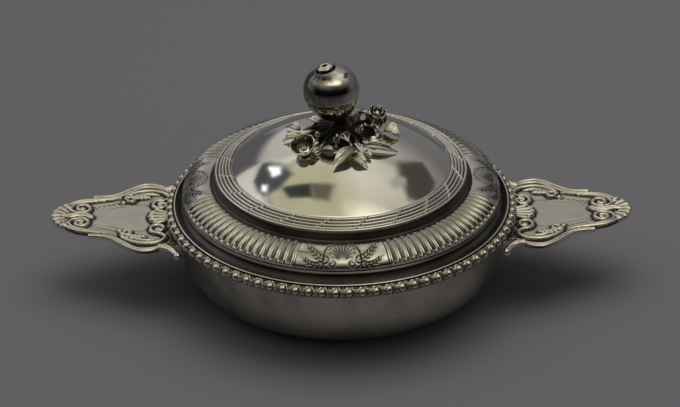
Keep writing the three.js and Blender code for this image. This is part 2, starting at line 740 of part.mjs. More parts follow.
function addFinial() {
  const lean = [-Math.sin(FRUIT_LEAN), 0, Math.cos(FRUIT_LEAN)];
  const leanAxis = new THREE.Vector3(...lean);
  const fruitFoot = new THREE.Vector3(FRUIT_FOOT_X, 0, FRUIT_FOOT_Z);
  const crownFoot = fruitFoot.clone().addScaledVector(leanAxis, CROWN_SEAT_Z + SOLDER_GAP);
  addPart('finial_stud', stud());
  addPart('finial_washer', washer());
  addPart('finial_nut', nut());
  addPart('finial_leaf_knot', leafKnot());
  addPart('finial_fruit', stood(fruit(), fruitFoot, lean), SILVER_SHADED, 0.2);
  addPart('fruit_crown', stood(fruitCrown(), crownFoot, lean));
}

function addSpray() {
  for (const [name, x0, y0, lift0, x1, y1, lift1, width, arch, cup] of LEAVES) {
    const shape = { base: onDome(x0, y0, lift0), tip: onDome(x1, y1, lift1), width, arch, cup };
    addPart(name, leaf(shape));
  }
  for (const [name, x, y, lift, facing, radius, height] of FLOWERS) {
    const foot = onDome(x, y, lift);
    const outward = new THREE.Vector3(...facing).normalize();
    const boss = foot.clone().addScaledVector(outward, 0.4 * height + SOLDER_GAP);
    addPart(name, stood(petalCup(radius, height), foot, facing));
    addPart(`${name}_centre`, stood(budShape(0.4 * radius, 0.5 * height), boss, facing));
  }
  for (const [name, x, y, lift, facing, radius, length] of BUDS) {
    addPart(name, stood(budShape(radius, length), onDome(x, y, lift), facing));
  }
}

addPart('bowl', bowl(), SILVER_SHADED, 0.3);
addPart('handle_right', handle());
addPart('handle_left', handle()).rotation.z = Math.PI;
addPart('cover_shell', coverShell());
addPart('ovolo_border', ovoloBorder());
addPart('edge_wire', wireRing(EDGE_WIRE_R, FLANGE_TOP_Z + SOLDER_GAP + EDGE_WIRE_T / 2, EDGE_WIRE_T));
addPart('shoulder_bead', wireRing(BEAD_R, BEAD_Z, BEAD_T));
addPart('reed_and_tie_band', reedBand());
addPart('cover_bezel', coverBezel());

addFinial();
addSpray();

export default parts;
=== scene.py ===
# Looks of a covered silver broth bowl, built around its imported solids
import math

import bpy
import numpy as np
from mathutils import Matrix, Vector
from mathutils.geometry import delaunay_2d_cdt


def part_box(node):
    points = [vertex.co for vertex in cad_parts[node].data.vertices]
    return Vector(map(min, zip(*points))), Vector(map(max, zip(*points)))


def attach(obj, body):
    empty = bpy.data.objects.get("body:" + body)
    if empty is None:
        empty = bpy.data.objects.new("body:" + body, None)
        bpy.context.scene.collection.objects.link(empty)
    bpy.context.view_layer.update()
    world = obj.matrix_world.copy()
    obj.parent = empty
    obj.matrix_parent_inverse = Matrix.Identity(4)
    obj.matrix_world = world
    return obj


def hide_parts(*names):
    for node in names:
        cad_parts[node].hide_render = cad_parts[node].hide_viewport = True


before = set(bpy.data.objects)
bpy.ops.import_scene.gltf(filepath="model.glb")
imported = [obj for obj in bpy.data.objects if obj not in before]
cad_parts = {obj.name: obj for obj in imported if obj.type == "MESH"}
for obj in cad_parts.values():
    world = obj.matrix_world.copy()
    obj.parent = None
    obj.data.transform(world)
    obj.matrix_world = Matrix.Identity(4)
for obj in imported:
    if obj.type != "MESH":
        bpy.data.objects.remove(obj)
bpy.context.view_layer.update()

# Shapes are written in millimetres, in the frame of the solids, and stored in metres
MM = 0.001
FULL_TURN = 2 * math.pi
DEGREE = math.pi / 180


def extent(node):
    """How far a node reaches to the right, its lowest and its highest height."""
    low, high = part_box(node)
    return high[0] / MM, low[2] / MM, high[2] / MM


# Sizes taken from the solids
RIM_R, _, RIM_TOP = extent("bowl")
FLANGE_R, COVER_FOOT, DOME_TOP = extent("cover_shell")
BORDER_R, BORDER_FOOT, BORDER_TOP = extent("ovolo_border")
REED_OUTER_R, REED_FOOT, _ = extent("reed_and_tie_band")
BEZEL_R, BEZEL_FOOT, BEZEL_TOP = extent("cover_bezel")
HANDLE_TIP_X, _, _ = extent("handle_right")

# The camera, as fitted to the photograph
PHOTO_WIDTH = 680
FOCAL_PX = 2600
CAMERA_ELEVATION = 29.6 * DEGREE
CAMERA_ROLL = 0.755 * DEGREE
CAMERA_DISTANCE = 1317 * MM
AIM = Vector((-0.66, 0, RIM_TOP - 0.3)) * MM
SENSOR_WIDTH = 36
VIEW_REACH = 20


def add_camera():
    data = bpy.data.cameras.new("camera")
    data.sensor_width = SENSOR_WIDTH
    data.lens = SENSOR_WIDTH * FOCAL_PX / PHOTO_WIDTH
    data.clip_end = VIEW_REACH
    camera = bpy.data.objects.new("camera", data)
    bpy.context.scene.collection.objects.link(camera)
    forward = Vector((0, math.cos(CAMERA_ELEVATION), -math.sin(CAMERA_ELEVATION)))
    up = Vector((0, math.sin(CAMERA_ELEVATION), math.cos(CAMERA_ELEVATION)))
    right = Vector((1, 0, 0))
    cos, sin = math.cos(CAMERA_ROLL), math.sin(CAMERA_ROLL)
    rolled_right = right * cos - up * sin
    rolled_up = right * sin + up * cos
    place = AIM - forward * CAMERA_DISTANCE
    axes = Matrix((rolled_right, rolled_up, -forward)).transposed().to_4x4()
    camera.matrix_world = Matrix.Translation(place) @ axes
    bpy.context.scene.camera = camera


# Mesh helpers. A mesh is its points in millimetres, its faces and a value for each point.

TURNED_COLUMNS = 360

# The value is 0 where silver is bright and 1 where it is dark; it holds patina in the hollows, painted shade
# and painted highlights; on a card, how clear it is
POINT_VALUE = "patina_and_shade"

# From how many degrees on an edge is sharp
SHARP_TURNED = 40
SHARP_CHASED = 50
SHARP_CAST = 60
SHARP_LEAF = 70


def make_object(name, points, faces, material, patina_and_shade=None, sharp_angle=None):
    """faces is a list of index arrays, each (count, corners)."""
    mesh = bpy.data.meshes.new(name)
    sizes = np.concatenate([np.full(len(f), f.shape[1]) for f in faces])
    corners = np.concatenate([f.ravel() for f in faces]).astype(np.int32)
    mesh.vertices.add(len(points))
    mesh.vertices.foreach_set("co", (points * MM).astype(np.float32).ravel())
    mesh.loops.add(len(corners))
    mesh.loops.foreach_set("vertex_index", corners)
    mesh.polygons.add(len(sizes))
    starts = np.concatenate([[0], np.cumsum(sizes)[:-1]]).astype(np.int32)
    mesh.polygons.foreach_set("loop_start", starts)
    mesh.update(calc_edges=True)
    mesh.polygons.foreach_set("use_smooth", np.ones(len(sizes), bool))
    if sharp_angle is not None:
        mesh.set_sharp_from_angle(angle=sharp_angle * DEGREE)
    attribute = mesh.attributes.new(POINT_VALUE, "FLOAT", "POINT")
    values = np.zeros(len(points)) if patina_and_shade is None else patina_and_shade
    attribute.data.foreach_set("value", np.asarray(values, np.float32).ravel())
    mesh.materials.append(material)
    mesh.validate()
    piece = bpy.data.objects.new(name, mesh)
    bpy.context.scene.collection.objects.link(piece)
    return piece


def add_piece(name, mesh, material, body, node, sharp_angle=SHARP_CAST):
    """A visible piece that rides on a body and stands for a node."""
    points, faces, patina_and_shade = mesh
    piece = make_object(name, points, faces, material, patina_and_shade, sharp_angle)
    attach(piece, body)
    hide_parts(node)


def grid_faces(rows, columns, wrap_rows, wrap_columns, offset=0, flip=False):
    """Quads between rows of points; flip turns them over."""
    r = np.arange(rows if wrap_rows else rows - 1)
    c = np.arange(columns if wrap_columns else columns - 1)
    r0, c0 = np.meshgrid(r, c, indexing="ij")
    r1 = (r0 + 1) % rows
    c1 = (c0 + 1) % columns
    quads = np.stack([r0 * columns + c0, r0 * columns + c1, r1 * columns + c1, r1 * columns + c0], -1)
    quads = quads.reshape(-1, 4) + offset
    return quads[:, ::-1] if flip else quads


def fan_faces(centre, columns, offset=0, flip=False):
    """Triangles between one point and a ring of points."""
    around = np.arange(columns)
    after = (around + 1) % columns
    first, second = (around, after) if flip else (after, around)
    return np.stack([np.full(columns, centre), first + offset, second + offset], -1)


def capped_faces(rows, columns):
    """Rings of points round an axis, closed by a point before them and one after; those two come last."""
    count = rows * columns
    return [grid_faces(rows, columns, False, True), fan_faces(count, columns),
            fan_faces(count + 1, columns, count - columns, True)]


def circle(columns):
    return np.arange(columns) * FULL_TURN / columns


def turn_of(points):
    return np.arctan2(points[:, 1], points[:, 0])


def radius_of(points):
    return np.hypot(points[:, 0], points[:, 1])


def unit(vectors):
    return vectors / np.linalg.norm(vectors, axis=-1, keepdims=True)


def smooth_line(points, count):
    """Catmull-Rom curve through the points, resampled evenly along its length."""
    p = np.asarray(points, float)
    padded = np.vstack([2 * p[0] - p[1], p, 2 * p[-1] - p[-2]])
    parts = []
    t = np.linspace(0, 1, 24, endpoint=False)[:, None]
    for i in range(1, len(padded) - 2):
        a, b, c, d = padded[i - 1:i + 3]
        parts.append(0.5 * (2 * b + (c - a) * t + (2 * a - 5 * b + 4 * c - d) * t**2
                            + (3 * b - a - 3 * c + d) * t**3))
    line = np.vstack(parts + [p[-1:]])
    return even_line(line, count)


def distance_along(line):
    step = np.linalg.norm(np.diff(line, axis=0), axis=1)
    return np.concatenate([[0], np.cumsum(step)])


def even_line(line, count):
    length = distance_along(line)
    at = np.linspace(0, length[-1], count)
    return np.stack([np.interp(at, length, line[:, k]) for k in range(line.shape[1])], -1)


def bezier_line(a, b, c, d, count):
    a, b, c, d = (np.asarray(x, float) for x in (a, b, c, d))
    t = np.linspace(0, 1, count)[:, None]
    return (1 - t)**3 * a + 3 * t * (1 - t)**2 * b + 3 * t**2 * (1 - t) * c + t**3 * d


def arc_line(x, y, radius, start, end, count):
    turn = np.linspace(start, end, count) * DEGREE
    return np.stack([x + radius * np.cos(turn), y + radius * np.sin(turn)], -1)


def turned_points(profile, angles):
    """profile is (rows, 2) of radius and height, or (rows, columns, 2) with relief."""
    profile = np.asarray(profile, float)
    if profile.ndim == 2:
        profile = np.repeat(profile[:, None], len(angles), 1)
    r, z = profile[..., 0], profile[..., 1]
    return np.stack([r * np.cos(angles), r * np.sin(angles), z], -1)


def turned_ring(profile, patina_and_shade=0):
    """Mesh of a ring whose profile closes on itself."""
    points = turned_points(profile, circle(TURNED_COLUMNS)).reshape(-1, 3)
    values = np.repeat(patina_and_shade + np.zeros(len(profile)), TURNED_COLUMNS)
    return points, [grid_faces(len(profile), TURNED_COLUMNS, True, True)], values


def turned_mesh(profile, columns):
    """Mesh of a solid whose profile starts and ends on the axis."""
    profile = np.asarray(profile, float)
    rings = turned_points(profile[1:-1], circle(columns)).reshape(-1, 3)
    points = np.vstack([rings, [[0, 0, profile[0, 1]], [0, 0, profile[-1, 1]]]])
    return points, capped_faces(len(profile) - 2, columns), np.zeros(len(points))


def moved(mesh, axes, origin=(0, 0, 0)):
    points, faces, values = mesh
    return points @ axes + np.asarray(origin), faces, values


def section_normals(profile):
    """Unit normals of an open profile, on the side away from the axis for a line that rises."""
    tangent = unit(np.gradient(np.asarray(profile, float), axis=0))
    return np.stack([tangent[:, 1], -tangent[:, 0]], -1)


def soft_ridge(value):
    """A ridge that is 1 where the value is 0, and 0 from 1 outward."""
    return np.clip(1 - value**2, 0, 1)


def round_ridge(value):
    """The same ridge with a round section."""
    return np.sqrt(soft_ridge(value))


def bump_step(value, low, high):
    """Rises smoothly from 0 to 1 between low and high."""
    t = np.clip((value - low) / (high - low), 0, 1)
    return t * t * (3 - 2 * t)


def merged(parts):
    """One mesh of several."""
    points, faces, values, offset = [], [], [], 0
    for part_points, part_faces, part_values in parts:
        points.append(part_points)
        faces += [f + offset for f in part_faces]
        values.append(part_values)
        offset += len(part_points)
    return np.vstack(points), faces, np.concatenate(values)


# Materials

SILVER_BRIGHT = (0.86, 0.84, 0.77)
SILVER_WARM = (0.87, 0.83, 0.73)
SILVER_GREY = (0.74, 0.70, 0.60)
# Dark end of the silver, for patina and for painted shade
TARNISH_AND_SHADE = (0.035, 0.03, 0.027)
SPECKS_PER_CLOUD = 22
SPECK_STAIN = 0.1
SCRATCH_SHARE = 0.06
BUMP_STRENGTH = 0.35
BUMP_DEPTH = 0.12 * MM

# The places of the colours among the sockets of a mix node
FIRST_COLOUR = 6
SECOND_COLOUR = 7
MIXED_COLOUR = 2


def set_inputs(tree, node, inputs):
    """Give sockets a value, a colour or the output of another node."""
    for key, value in inputs.items():
        socket = node.inputs[key]
        if isinstance(value, bpy.types.NodeSocket):
            tree.links.new(value, socket)
        else:
            socket.default_value = (*value, 1) if socket.type == "RGBA" else value


def add_node(tree, kind, inputs, **settings):
    node = tree.nodes.new(kind)
    for key, value in settings.items():
        setattr(node, key, value)
    set_inputs(tree, node, inputs)
    return node


def point_value(tree):
    return add_node(tree, "ShaderNodeAttribute", {}, attribute_name=POINT_VALUE).outputs["Fac"]


def object_place(tree):
    return add_node(tree, "ShaderNodeTexCoord", {}).outputs["Object"]


def seen_by_camera(tree):
    return add_node(tree, "ShaderNodeLightPath", {}).outputs["Is Camera Ray"]


def noise_node(tree, place, scale, detail):
    inputs = {"Vector": place, "Scale": scale, "Detail": detail}
    return add_node(tree, "ShaderNodeTexNoise", inputs).outputs["Fac"]


def span_node(tree, value, low, high, to_low, to_high, interpolation="LINEAR"):
    spans = {"Value": value, "From Min": low, "From Max": high, "To Min": to_low, "To Max": to_high}
    return add_node(tree, "ShaderNodeMapRange", spans, interpolation_type=interpolation).outputs["Result"]


def math_node(tree, operation, first, second):
    return add_node(tree, "ShaderNodeMath", {0: first, 1: second}, operation=operation).outputs[0]


def mix_colour(tree, factor, first, second):
    inputs = {"Factor": factor, FIRST_COLOUR: first, SECOND_COLOUR: second}
    return add_node(tree, "ShaderNodeMix", inputs, data_type="RGBA").outputs[MIXED_COLOUR]


def new_material(name):
    material = bpy.data.materials.new(name)
    material.use_nodes = True
    return material, material.node_tree, material.node_tree.nodes["Principled BSDF"]


def silver_material(name, bright, roughness, cloud_scale, dents, scratches, stains=0.12, dulling=0.3):
    """Polished silver: bright on crests, and dull and dark where each point's value paints patina in the
    hollows and painted shade, with soft clouds of stain.
    """
    material, tree, shader = new_material(name)
    place = object_place(tree)
    patches = span_node(tree, noise_node(tree, place, cloud_scale, 4), 0.42, 0.72, 0, stains)
    specks = noise_node(tree, place, cloud_scale * SPECKS_PER_CLOUD, 2)
    stain = math_node(tree, "ADD", patches, span_node(tree, specks, 0.62, 0.8, 0, SPECK_STAIN))
    # The point value's patina and painted shade, with the stains added
    tarnish_and_shade = span_node(tree, math_node(tree, "ADD", point_value(tree), stain), 0, 1, 0, 1)
    scratch = math_node(tree, "MULTIPLY", noise_node(tree, place, scratches, 6), SCRATCH_SHARE)
    height = math_node(tree, "ADD", noise_node(tree, place, dents, 2), scratch)
    dents_and_scratches = {"Strength": BUMP_STRENGTH, "Distance": BUMP_DEPTH, "Height": height}
    set_inputs(tree, shader, {
        "Metallic": 1,
        "Base Color": mix_colour(tree, tarnish_and_shade, bright, TARNISH_AND_SHADE),
        "Roughness": span_node(tree, tarnish_and_shade, 0, 1, roughness, roughness + dulling),
        "Normal": add_node(tree, "ShaderNodeBump", dents_and_scratches).outputs["Normal"],
    })
    return material


RAISED = silver_material("raised_silver", SILVER_BRIGHT, 0.09, 45, 90, 1500)
BOWL_SILVER = silver_material("worn_silver", SILVER_GREY, 0.24, 60, 110, 1500, stains=0.26)
CAST = silver_material("cast_silver", SILVER_WARM, 0.17, 120, 260, 2500)
DRAWN = silver_material("drawn_silver", SILVER_BRIGHT, 0.15, 120, 160, 2000)
POLISHED = silver_material("polished_silver", SILVER_BRIGHT, 0.08, 80, 60, 2000, stains=0.2, dulling=0.08)
SHADED = silver_material("shaded_silver", SILVER_WARM, 0.28, 160, 300, 2500)


# Stage: a plain floor, a soft box overhead, and a studio that is light behind the object and dark before it

FLOOR_COLOUR = (0.139, 0.139, 0.158)
STUDIO_DARK = (0.02, 0.019, 0.02)
STUDIO_LIGHT = (0.25, 0.243, 0.26)
STUDIO_GLOW = (0.46, 0.44, 0.37)
LAMP_WARM = (1.0, 0.94, 0.70)
LAMP_NEUTRAL = (1.0, 0.99, 0.97)
FLOOR_RADII = (60, 400, 1200, 3000)
FLOOR_COLUMNS = 96


def smooth_span(tree, *spans):
    return span_node(tree, *spans, "SMOOTHSTEP")


def axes_of(tree, direction):
    return add_node(tree, "ShaderNodeSeparateXYZ", {0: direction}).outputs


def floor_material():
    """Plain paper. Reflections see it darken toward the camera, as in a studio that is lit from behind."""
    material, tree, shader = new_material("floor")
    share = smooth_span(tree, axes_of(tree, object_place(tree))["Y"], -0.9, -0.1, 0.75, 0)
    share = math_node(tree, "MULTIPLY", share, math_node(tree, "SUBTRACT", 1.0, seen_by_camera(tree)))
    colour = mix_colour(tree, share, FLOOR_COLOUR, STUDIO_DARK)
    set_inputs(tree, shader, {"Roughness": 0.9, "Specular IOR Level": 0.1, "Base Color": colour})
    return material


def add_stage():
    rings = turned_points([[radius, 0] for radius in FLOOR_RADII], circle(FLOOR_COLUMNS)).reshape(-1, 3)
    faces = [grid_faces(len(FLOOR_RADII), FLOOR_COLUMNS, False, True, flip=True),
             fan_faces(len(rings), FLOOR_COLUMNS, flip=True)]
    make_object("floor", np.vstack([rings, [[0, 0, 0]]]), faces, floor_material())


def scaled_colour(tree, colour, share):
    return add_node(tree, "ShaderNodeVectorMath", {0: colour, "Scale": share}, operation="SCALE").outputs[0]


def add_world():
    """Grey walls behind and beside the object and a glow overhead; camera rays see the floor's colour."""
    world = bpy.data.worlds.new("studio")
    world.use_nodes = True
    tree = world.node_tree
    axes = axes_of(tree, add_node(tree, "ShaderNodeTexCoord", {}).outputs["Generated"])
    behind = smooth_span(tree, axes["Y"], -0.45, 0.3, 0.02, 1)
    leftward = smooth_span(tree, axes["X"], -0.9, 0.6, 1.35, 0.6)
    walls = scaled_colour(tree, STUDIO_LIGHT, math_node(tree, "MULTIPLY", behind, leftward))
    high = smooth_span(tree, axes["Z"], 0.25, 0.85, 0, 1)
    not_before = smooth_span(tree, axes["Y"], -0.95, -0.3, 0.3, 1)
    share = math_node(tree, "MULTIPLY", math_node(tree, "MULTIPLY", high, not_before), leftward)
    glow = scaled_colour(tree, STUDIO_GLOW, share)
    light = add_node(tree, "ShaderNodeVectorMath", {0: walls, 1: glow}).outputs[0]
    colour = mix_colour(tree, seen_by_camera(tree), light, FLOOR_COLOUR)
    set_inputs(tree, tree.nodes["Background"], {"Color": colour})
    bpy.context.scene.world = world


def add_panel_light(name, place, size, radiance, colour, aim, reflected=True):
    data = bpy.data.lights.new(name, "AREA")
    data.shape = "ELLIPSE"
    data.size, data.size_y = size[0] * MM, size[1] * MM
    area = data.size * data.size_y * math.pi / 4
    data.energy = radiance * math.pi * area
    data.color = colour
    lamp = bpy.data.objects.new(name, data)
    bpy.context.scene.collection.objects.link(lamp)
    lamp.location = Vector(place) * MM
    away = lamp.location - Vector(aim) * MM
    lamp.rotation_euler = away.to_track_quat("Z", "Y").to_euler()
    lamp.visible_camera = False
    lamp.visible_glossy = reflected


def card_material(name, colour):
    """Even light of one colour; it fades out where the card is clear."""
    material, tree, shader = new_material(name)
    tree.nodes.remove(shader)
    glow = add_node(tree, "ShaderNodeEmission", {"Color": colour}).outputs[0]
    clear = add_node(tree, "ShaderNodeBsdfTransparent", {}).outputs[0]
    mix = add_node(tree, "ShaderNodeMixShader", {"Fac": point_value(tree), 1: glow, 2: clear}).outputs[0]
    set_inputs(tree, tree.nodes["Material Output"], {"Surface": mix})
    return material


def stage_card(name, loops, clearness, colour):
    """A card that only reflections see: loops of points, one inside the other, and how clear each is."""
    columns = len(loops[0])
    faces = [grid_faces(len(loops), columns, False, True)]
    values = np.repeat(clearness, columns)
    card = make_object(name, np.vstack(loops), faces, card_material(name, colour), values)
    card.visible_camera = False
    card.visible_diffuse = False
    card.visible_shadow = False


def add_card(name, corners, colour, soft):
    """A card with soft edges."""
    outline = np.asarray(corners, float)
    centre = outline.mean(0)
    edge = soft * unit(outline - centre)
    middle = np.tile(centre, (len(outline), 1))
    stage_card(name, [middle, outline - edge, outline + edge], [0, 0, 1], colour)


def add_oval_card(name, place, size, rings, colour):
    """A level card of ovals: each ring is a share of the card's size and a clearness."""
    turn = circle(OVAL_COLUMNS)
    around = np.stack([np.cos(turn), np.sin(turn), 0 * turn], -1)
    half = np.array([size[0] / 2, size[1] / 2, 0])
    loops = [np.asarray(place) + share * half * around for share, _ in rings]
    stage_card(name, loops, [clear for _, clear in rings], colour)


def stage_point(elevation, azimuth, distance):
    """A place seen from the object: azimuth is 0 straight behind it and grows to the right."""
    up, turn = elevation * DEGREE, azimuth * DEGREE
    flat = distance * math.cos(up)
    return (flat * math.sin(turn), flat * math.cos(turn), distance * math.sin(up))


# Lamps and cards. Places are to the right of the object, behind it and above the floor.

BOX_PLACE = (110, 175, 1080)
BOX_SIZE = (1960, 1150)
OVAL_COLUMNS = 64

# name, height, width of the soft edge, colour, corners
CEILING_CARDS = [
    ("window", 960, 45, (0.055, 0.06, 0.075),
     [(-1000, 500), (-1070, 800), (-930, 1180), (-563, 675), (-445, 383), (-630, 255), (-887, 312)]),
    ("pane_0", 950, 28, (1.5, 1.55, 1.6), [(-805, 885), (-600, 640), (-590, 500), (-700, 535)]),
    ("pane_1", 950, 28, (1.5, 1.55, 1.6), [(-890, 545), (-795, 425), (-812, 335), (-880, 428)]),
    ("left_shade", 985, 150, (0.48, 0.455, 0.32),
     [(-760, -430), (-760, 420), (-420, 600), (-40, 480), (90, 60), (70, -400)]),
    ("stand", 960, 26, (0.03, 0.03, 0.03), [(-600, 250), (-271, 157), (-270, -41), (-530, 50)]),
    ("stand_side", 965, 34, (0.11, 0.105, 0.085), [(-280, 157), (-61, 93), (-109, -119), (-271, -49)]),
    ("door", 960, 60, (0.06, 0.057, 0.05),
     [(560, 700), (1008, 1250), (1250, 900), (1100, 240), (720, 100), (560, 430)]),
    ("door_light", 950, 35, (0.37, 0.365, 0.33),
     [(446, 232), (536, 380), (660, 440), (650, 300), (527, 153)]),
]

# name, distance, width of the soft edge, colour, corners as elevation and azimuth
WALL_CARDS = [
    ("dark_wall", 1900, 70, (0.10, 0.095, 0.11),
     [(0, -15), (8, -15), (16, -23), (26, -34), (30, -38), (21, -42), (17, -50), (13, -58), (0, -58)]),
    ("lit_wall", 2100, 60, (0.5, 0.5, 0.48),
     [(27, -32), (17, -21), (9, -13), (24, -11), (46, -28), (42, -35)]),
    ("lit_side", 2100, 60, (0.64, 0.63, 0.6),
     [(20, -43), (29, -39), (33, -50), (38, -62), (28, -64), (18, -54)]),
]


def add_lamps():
    add_panel_light("soft_box", BOX_PLACE, BOX_SIZE, 0.17, LAMP_WARM, (*BOX_PLACE[:2], 0))
    add_panel_light("floor_fill", (180, 260, 1500), (1500, 1500), 2.0, LAMP_NEUTRAL, (0, 0, 0), False)
    add_panel_light("front_fill", (700, -1400, 900), (1400, 1400), 0.4, LAMP_NEUTRAL, (0, -100, 0), False)


def add_cards():
    rings = [(0.72, 1), (0.9, 0.45), (1.02, 0), (1.25, 1)]
    add_oval_card("soft_edge", (*BOX_PLACE[:2], 1060), BOX_SIZE, rings, (0.32, 0.31, 0.28))
    rings = [(0.02, 0), (0.4, 0.1), (0.7, 0.5), (1, 1)]
    add_oval_card("front_light", (220, -520, 1050), (1600, 880), rings, (1.35, 1.27, 1.0))
    for name, height, soft, colour, corners in CEILING_CARDS:
        add_card(name, [(x, y, height) for x, y in corners], colour, soft)
    for name, distance, soft, colour, corners in WALL_CARDS:
        add_card(name, [stage_point(*corner, distance) for corner in corners], colour, soft)


def set_view():
    bpy.context.scene.view_settings.view_transform = "Standard"


# Bowl

BOWL_FOOT_R = 42
BOWL_SHEET_T = 1.3
BOWL_COLUMNS = 288
WALL_R = RIM_R - 0.9
WALL_TOP = RIM_TOP - 3.3
BELLY_REACH = 2.1
BELLY_HEIGHT = 23.5
LIP_R = 0.7
RIPPLE = 0.035


def wall_line(wall_r, foot, count):
    """Section of the belly and the wall, along one side of the sheet."""
    return bezier_line((BOWL_FOOT_R, foot), (wall_r + BELLY_REACH, foot), (wall_r, BELLY_HEIGHT),
                       (wall_r, WALL_TOP), count)


def bowl_profile():
    swell = bezier_line((WALL_R, WALL_TOP), (WALL_R, WALL_TOP + 1), (RIM_R, WALL_TOP + 0.8),
                        (RIM_R, WALL_TOP + 2), 6)
    return np.vstack([
        [[0, 0], [20, 0], [36, 0]],
        wall_line(WALL_R, 0, 46),
        swell[1:],
        arc_line(RIM_R - LIP_R, RIM_TOP - LIP_R, LIP_R, 0, 90, 6),
        [[RIM_R - 2.2, RIM_TOP], [RIM_R - 3.0, RIM_TOP - 0.3], [RIM_R - 3.2, RIM_TOP - 1.6]],
        wall_line(WALL_R - BOWL_SHEET_T, BOWL_SHEET_T, 30)[::-1],
        [[20, BOWL_SHEET_T], [0, BOWL_SHEET_T]],
    ])


def bowl_patina_and_shade(points, profile):
    """Patina in soft waves round the bowl, with painted shade at the left, at the right and toward the foot,
    and little on the bowl's floor.
    """
    turn, height = turn_of(points), points[:, 2]
    stain = 0.12 + 0.05 * np.sin(3 * turn + 0.1 * height) + 0.04 * np.sin(7 * turn - 0.17 * height + 1)
    # Painted shade: darker at the left, at the right and toward the foot
    stain += 0.34 * bump_step(-np.cos(turn), 0.15, 0.85) + 0.12 * bump_step(np.cos(turn), 0.45, 0.8)
    stain += 0.1 * (1 - bump_step(height, 3, 16))
    belly = profile[:len(profile) // 3]
    belly_r = np.interp(height, belly[:, 1], belly[:, 0])
    floor = (height > 0.6) & (radius_of(points) < belly_r - 0.6)
    return np.where(floor, 0.06, np.clip(stain, 0, 1))


def add_bowl():
    profile = bowl_profile()
    points, faces, _ = turned_mesh(profile, BOWL_COLUMNS)
    turn, height = turn_of(points), points[:, 2]
    ripple = np.sin(9 * turn + 0.30 * height) + np.sin(14 * turn - 0.21 * height + 1.7)
    ripple += np.sin(23 * turn + 0.16 * height + 0.4)
    share = bump_step(height, 4, 10) * (1 - bump_step(height, 34, 39))
    points[:, :2] *= (1 + RIPPLE * ripple * share / np.maximum(radius_of(points), 1))[:, None]
    mesh = points, faces, bowl_patina_and_shade(points, profile)
    add_piece("raised_bowl", mesh, BOWL_SILVER, "bowl", "bowl", SHARP_TURNED)


# Cover. Its sheet is four pieces: the flange, the panels and the flutes of the shoulder, and the dome.

COVER_SHEET_T = 1.1
DOME_R = 89
DOME_FOOT_R = 55.2
NECK_FOOT_R = 64.7
SHOULDER_FOOT = 49.8
STUD_HOLE_R = 2.4


def dome_height(from_axis, radius=DOME_R):
    """Height of the dome at a distance from the axis, or of a smaller one with the same centre."""
    return DOME_TOP - DOME_R + np.sqrt(radius**2 - from_axis**2)


def dome_line(radius, start_r, end_r, count):
    from_axis = np.linspace(start_r, end_r, count)
    return np.stack([from_axis, dome_height(from_axis, radius)], -1)


def on_dome(x, y, lift):
    return np.array([x, y, dome_height(math.hypot(x, y)) + lift])


def add_flange():
    """The flat rim that rests on the bowl and the cove above it, whose outside is painted dark as shade,
    darkest in the corner and below the fillet.
    """
    outside = np.vstack([
        [[BEZEL_R - 0.3, COVER_FOOT], [FLANGE_R - 0.3, COVER_FOOT], [FLANGE_R, COVER_FOOT + 0.3]],
        [[FLANGE_R, COVER_FOOT + 1], [FLANGE_R - 0.3, COVER_FOOT + 1.2], [83.4, COVER_FOOT + 1.25]],
        smooth_line([[82.9, 44.3], [81.8, 45.0], [80.9, 46.3], [80.2, 47.7], [79.95, 48.6]], 14),
        arc_line(79.8, SHOULDER_FOOT - 0.75, 0.4, -40, 110, 7),
        [[79.3, SHOULDER_FOOT]],
    ])
    inside = [[78.2, SHOULDER_FOOT], [78.7, 48.0], [79.0, 46.6], [79.2, 45.6], [79.3, COVER_FOOT]]
    height = outside[:, 1]
    # Painted shade on the outside of the cove, under the shoulder
    corner = 1 - bump_step(height, 44.6, 46.4)
    shade_below_fillet = bump_step(height, 46.8, 48.4) * (1 - bump_step(height, 48.5, 48.8))
    patina_and_shade = np.concatenate([0.76 + 0.22 * np.maximum(corner, shade_below_fillet), np.zeros(len(inside))])
    mesh = turned_ring(np.vstack([outside, inside]), patina_and_shade)
    add_piece("cover_flange", mesh, RAISED, "cover", "cover_shell", SHARP_TURNED)


def add_dome():
    """The neck, the seat of the reeds and the dome."""
    neck = smooth_line([[NECK_FOOT_R, 57.6], [64.2, 57.75], [63.8, 58.3], [63.5, 59.4], [63.3, 61.3]], 12)
    seat = [[60.0, 62.3], [56.4, 63.9], [55.5, 64.8]]
    inside = [[55.0, 63.4], [59.6, 61.1], [61.9, 60.1], [62.5, 57.6], [63.6, 56.5], [NECK_FOOT_R, 56.5]]
    profile = np.vstack([neck, seat, dome_line(DOME_R, DOME_FOOT_R, STUD_HOLE_R, 60),
                         dome_line(DOME_R - COVER_SHEET_T, STUD_HOLE_R, DOME_FOOT_R - 0.6, 30), inside])
    patina_and_shade = np.zeros(len(profile))
    # Painted shade on the neck and the seat of the reeds, under the reed band
    patina_and_shade[:len(neck)] = 0.9
    patina_and_shade[len(neck):len(neck) + len(seat)] = 0.6
    mesh = turned_ring(profile, patina_and_shade)
    add_piece("cover_dome", mesh, RAISED, "cover", "cover_shell", SHARP_TURNED)


# Shoulder of the cover: four plain panels with an engraved ornament, and flutes between them

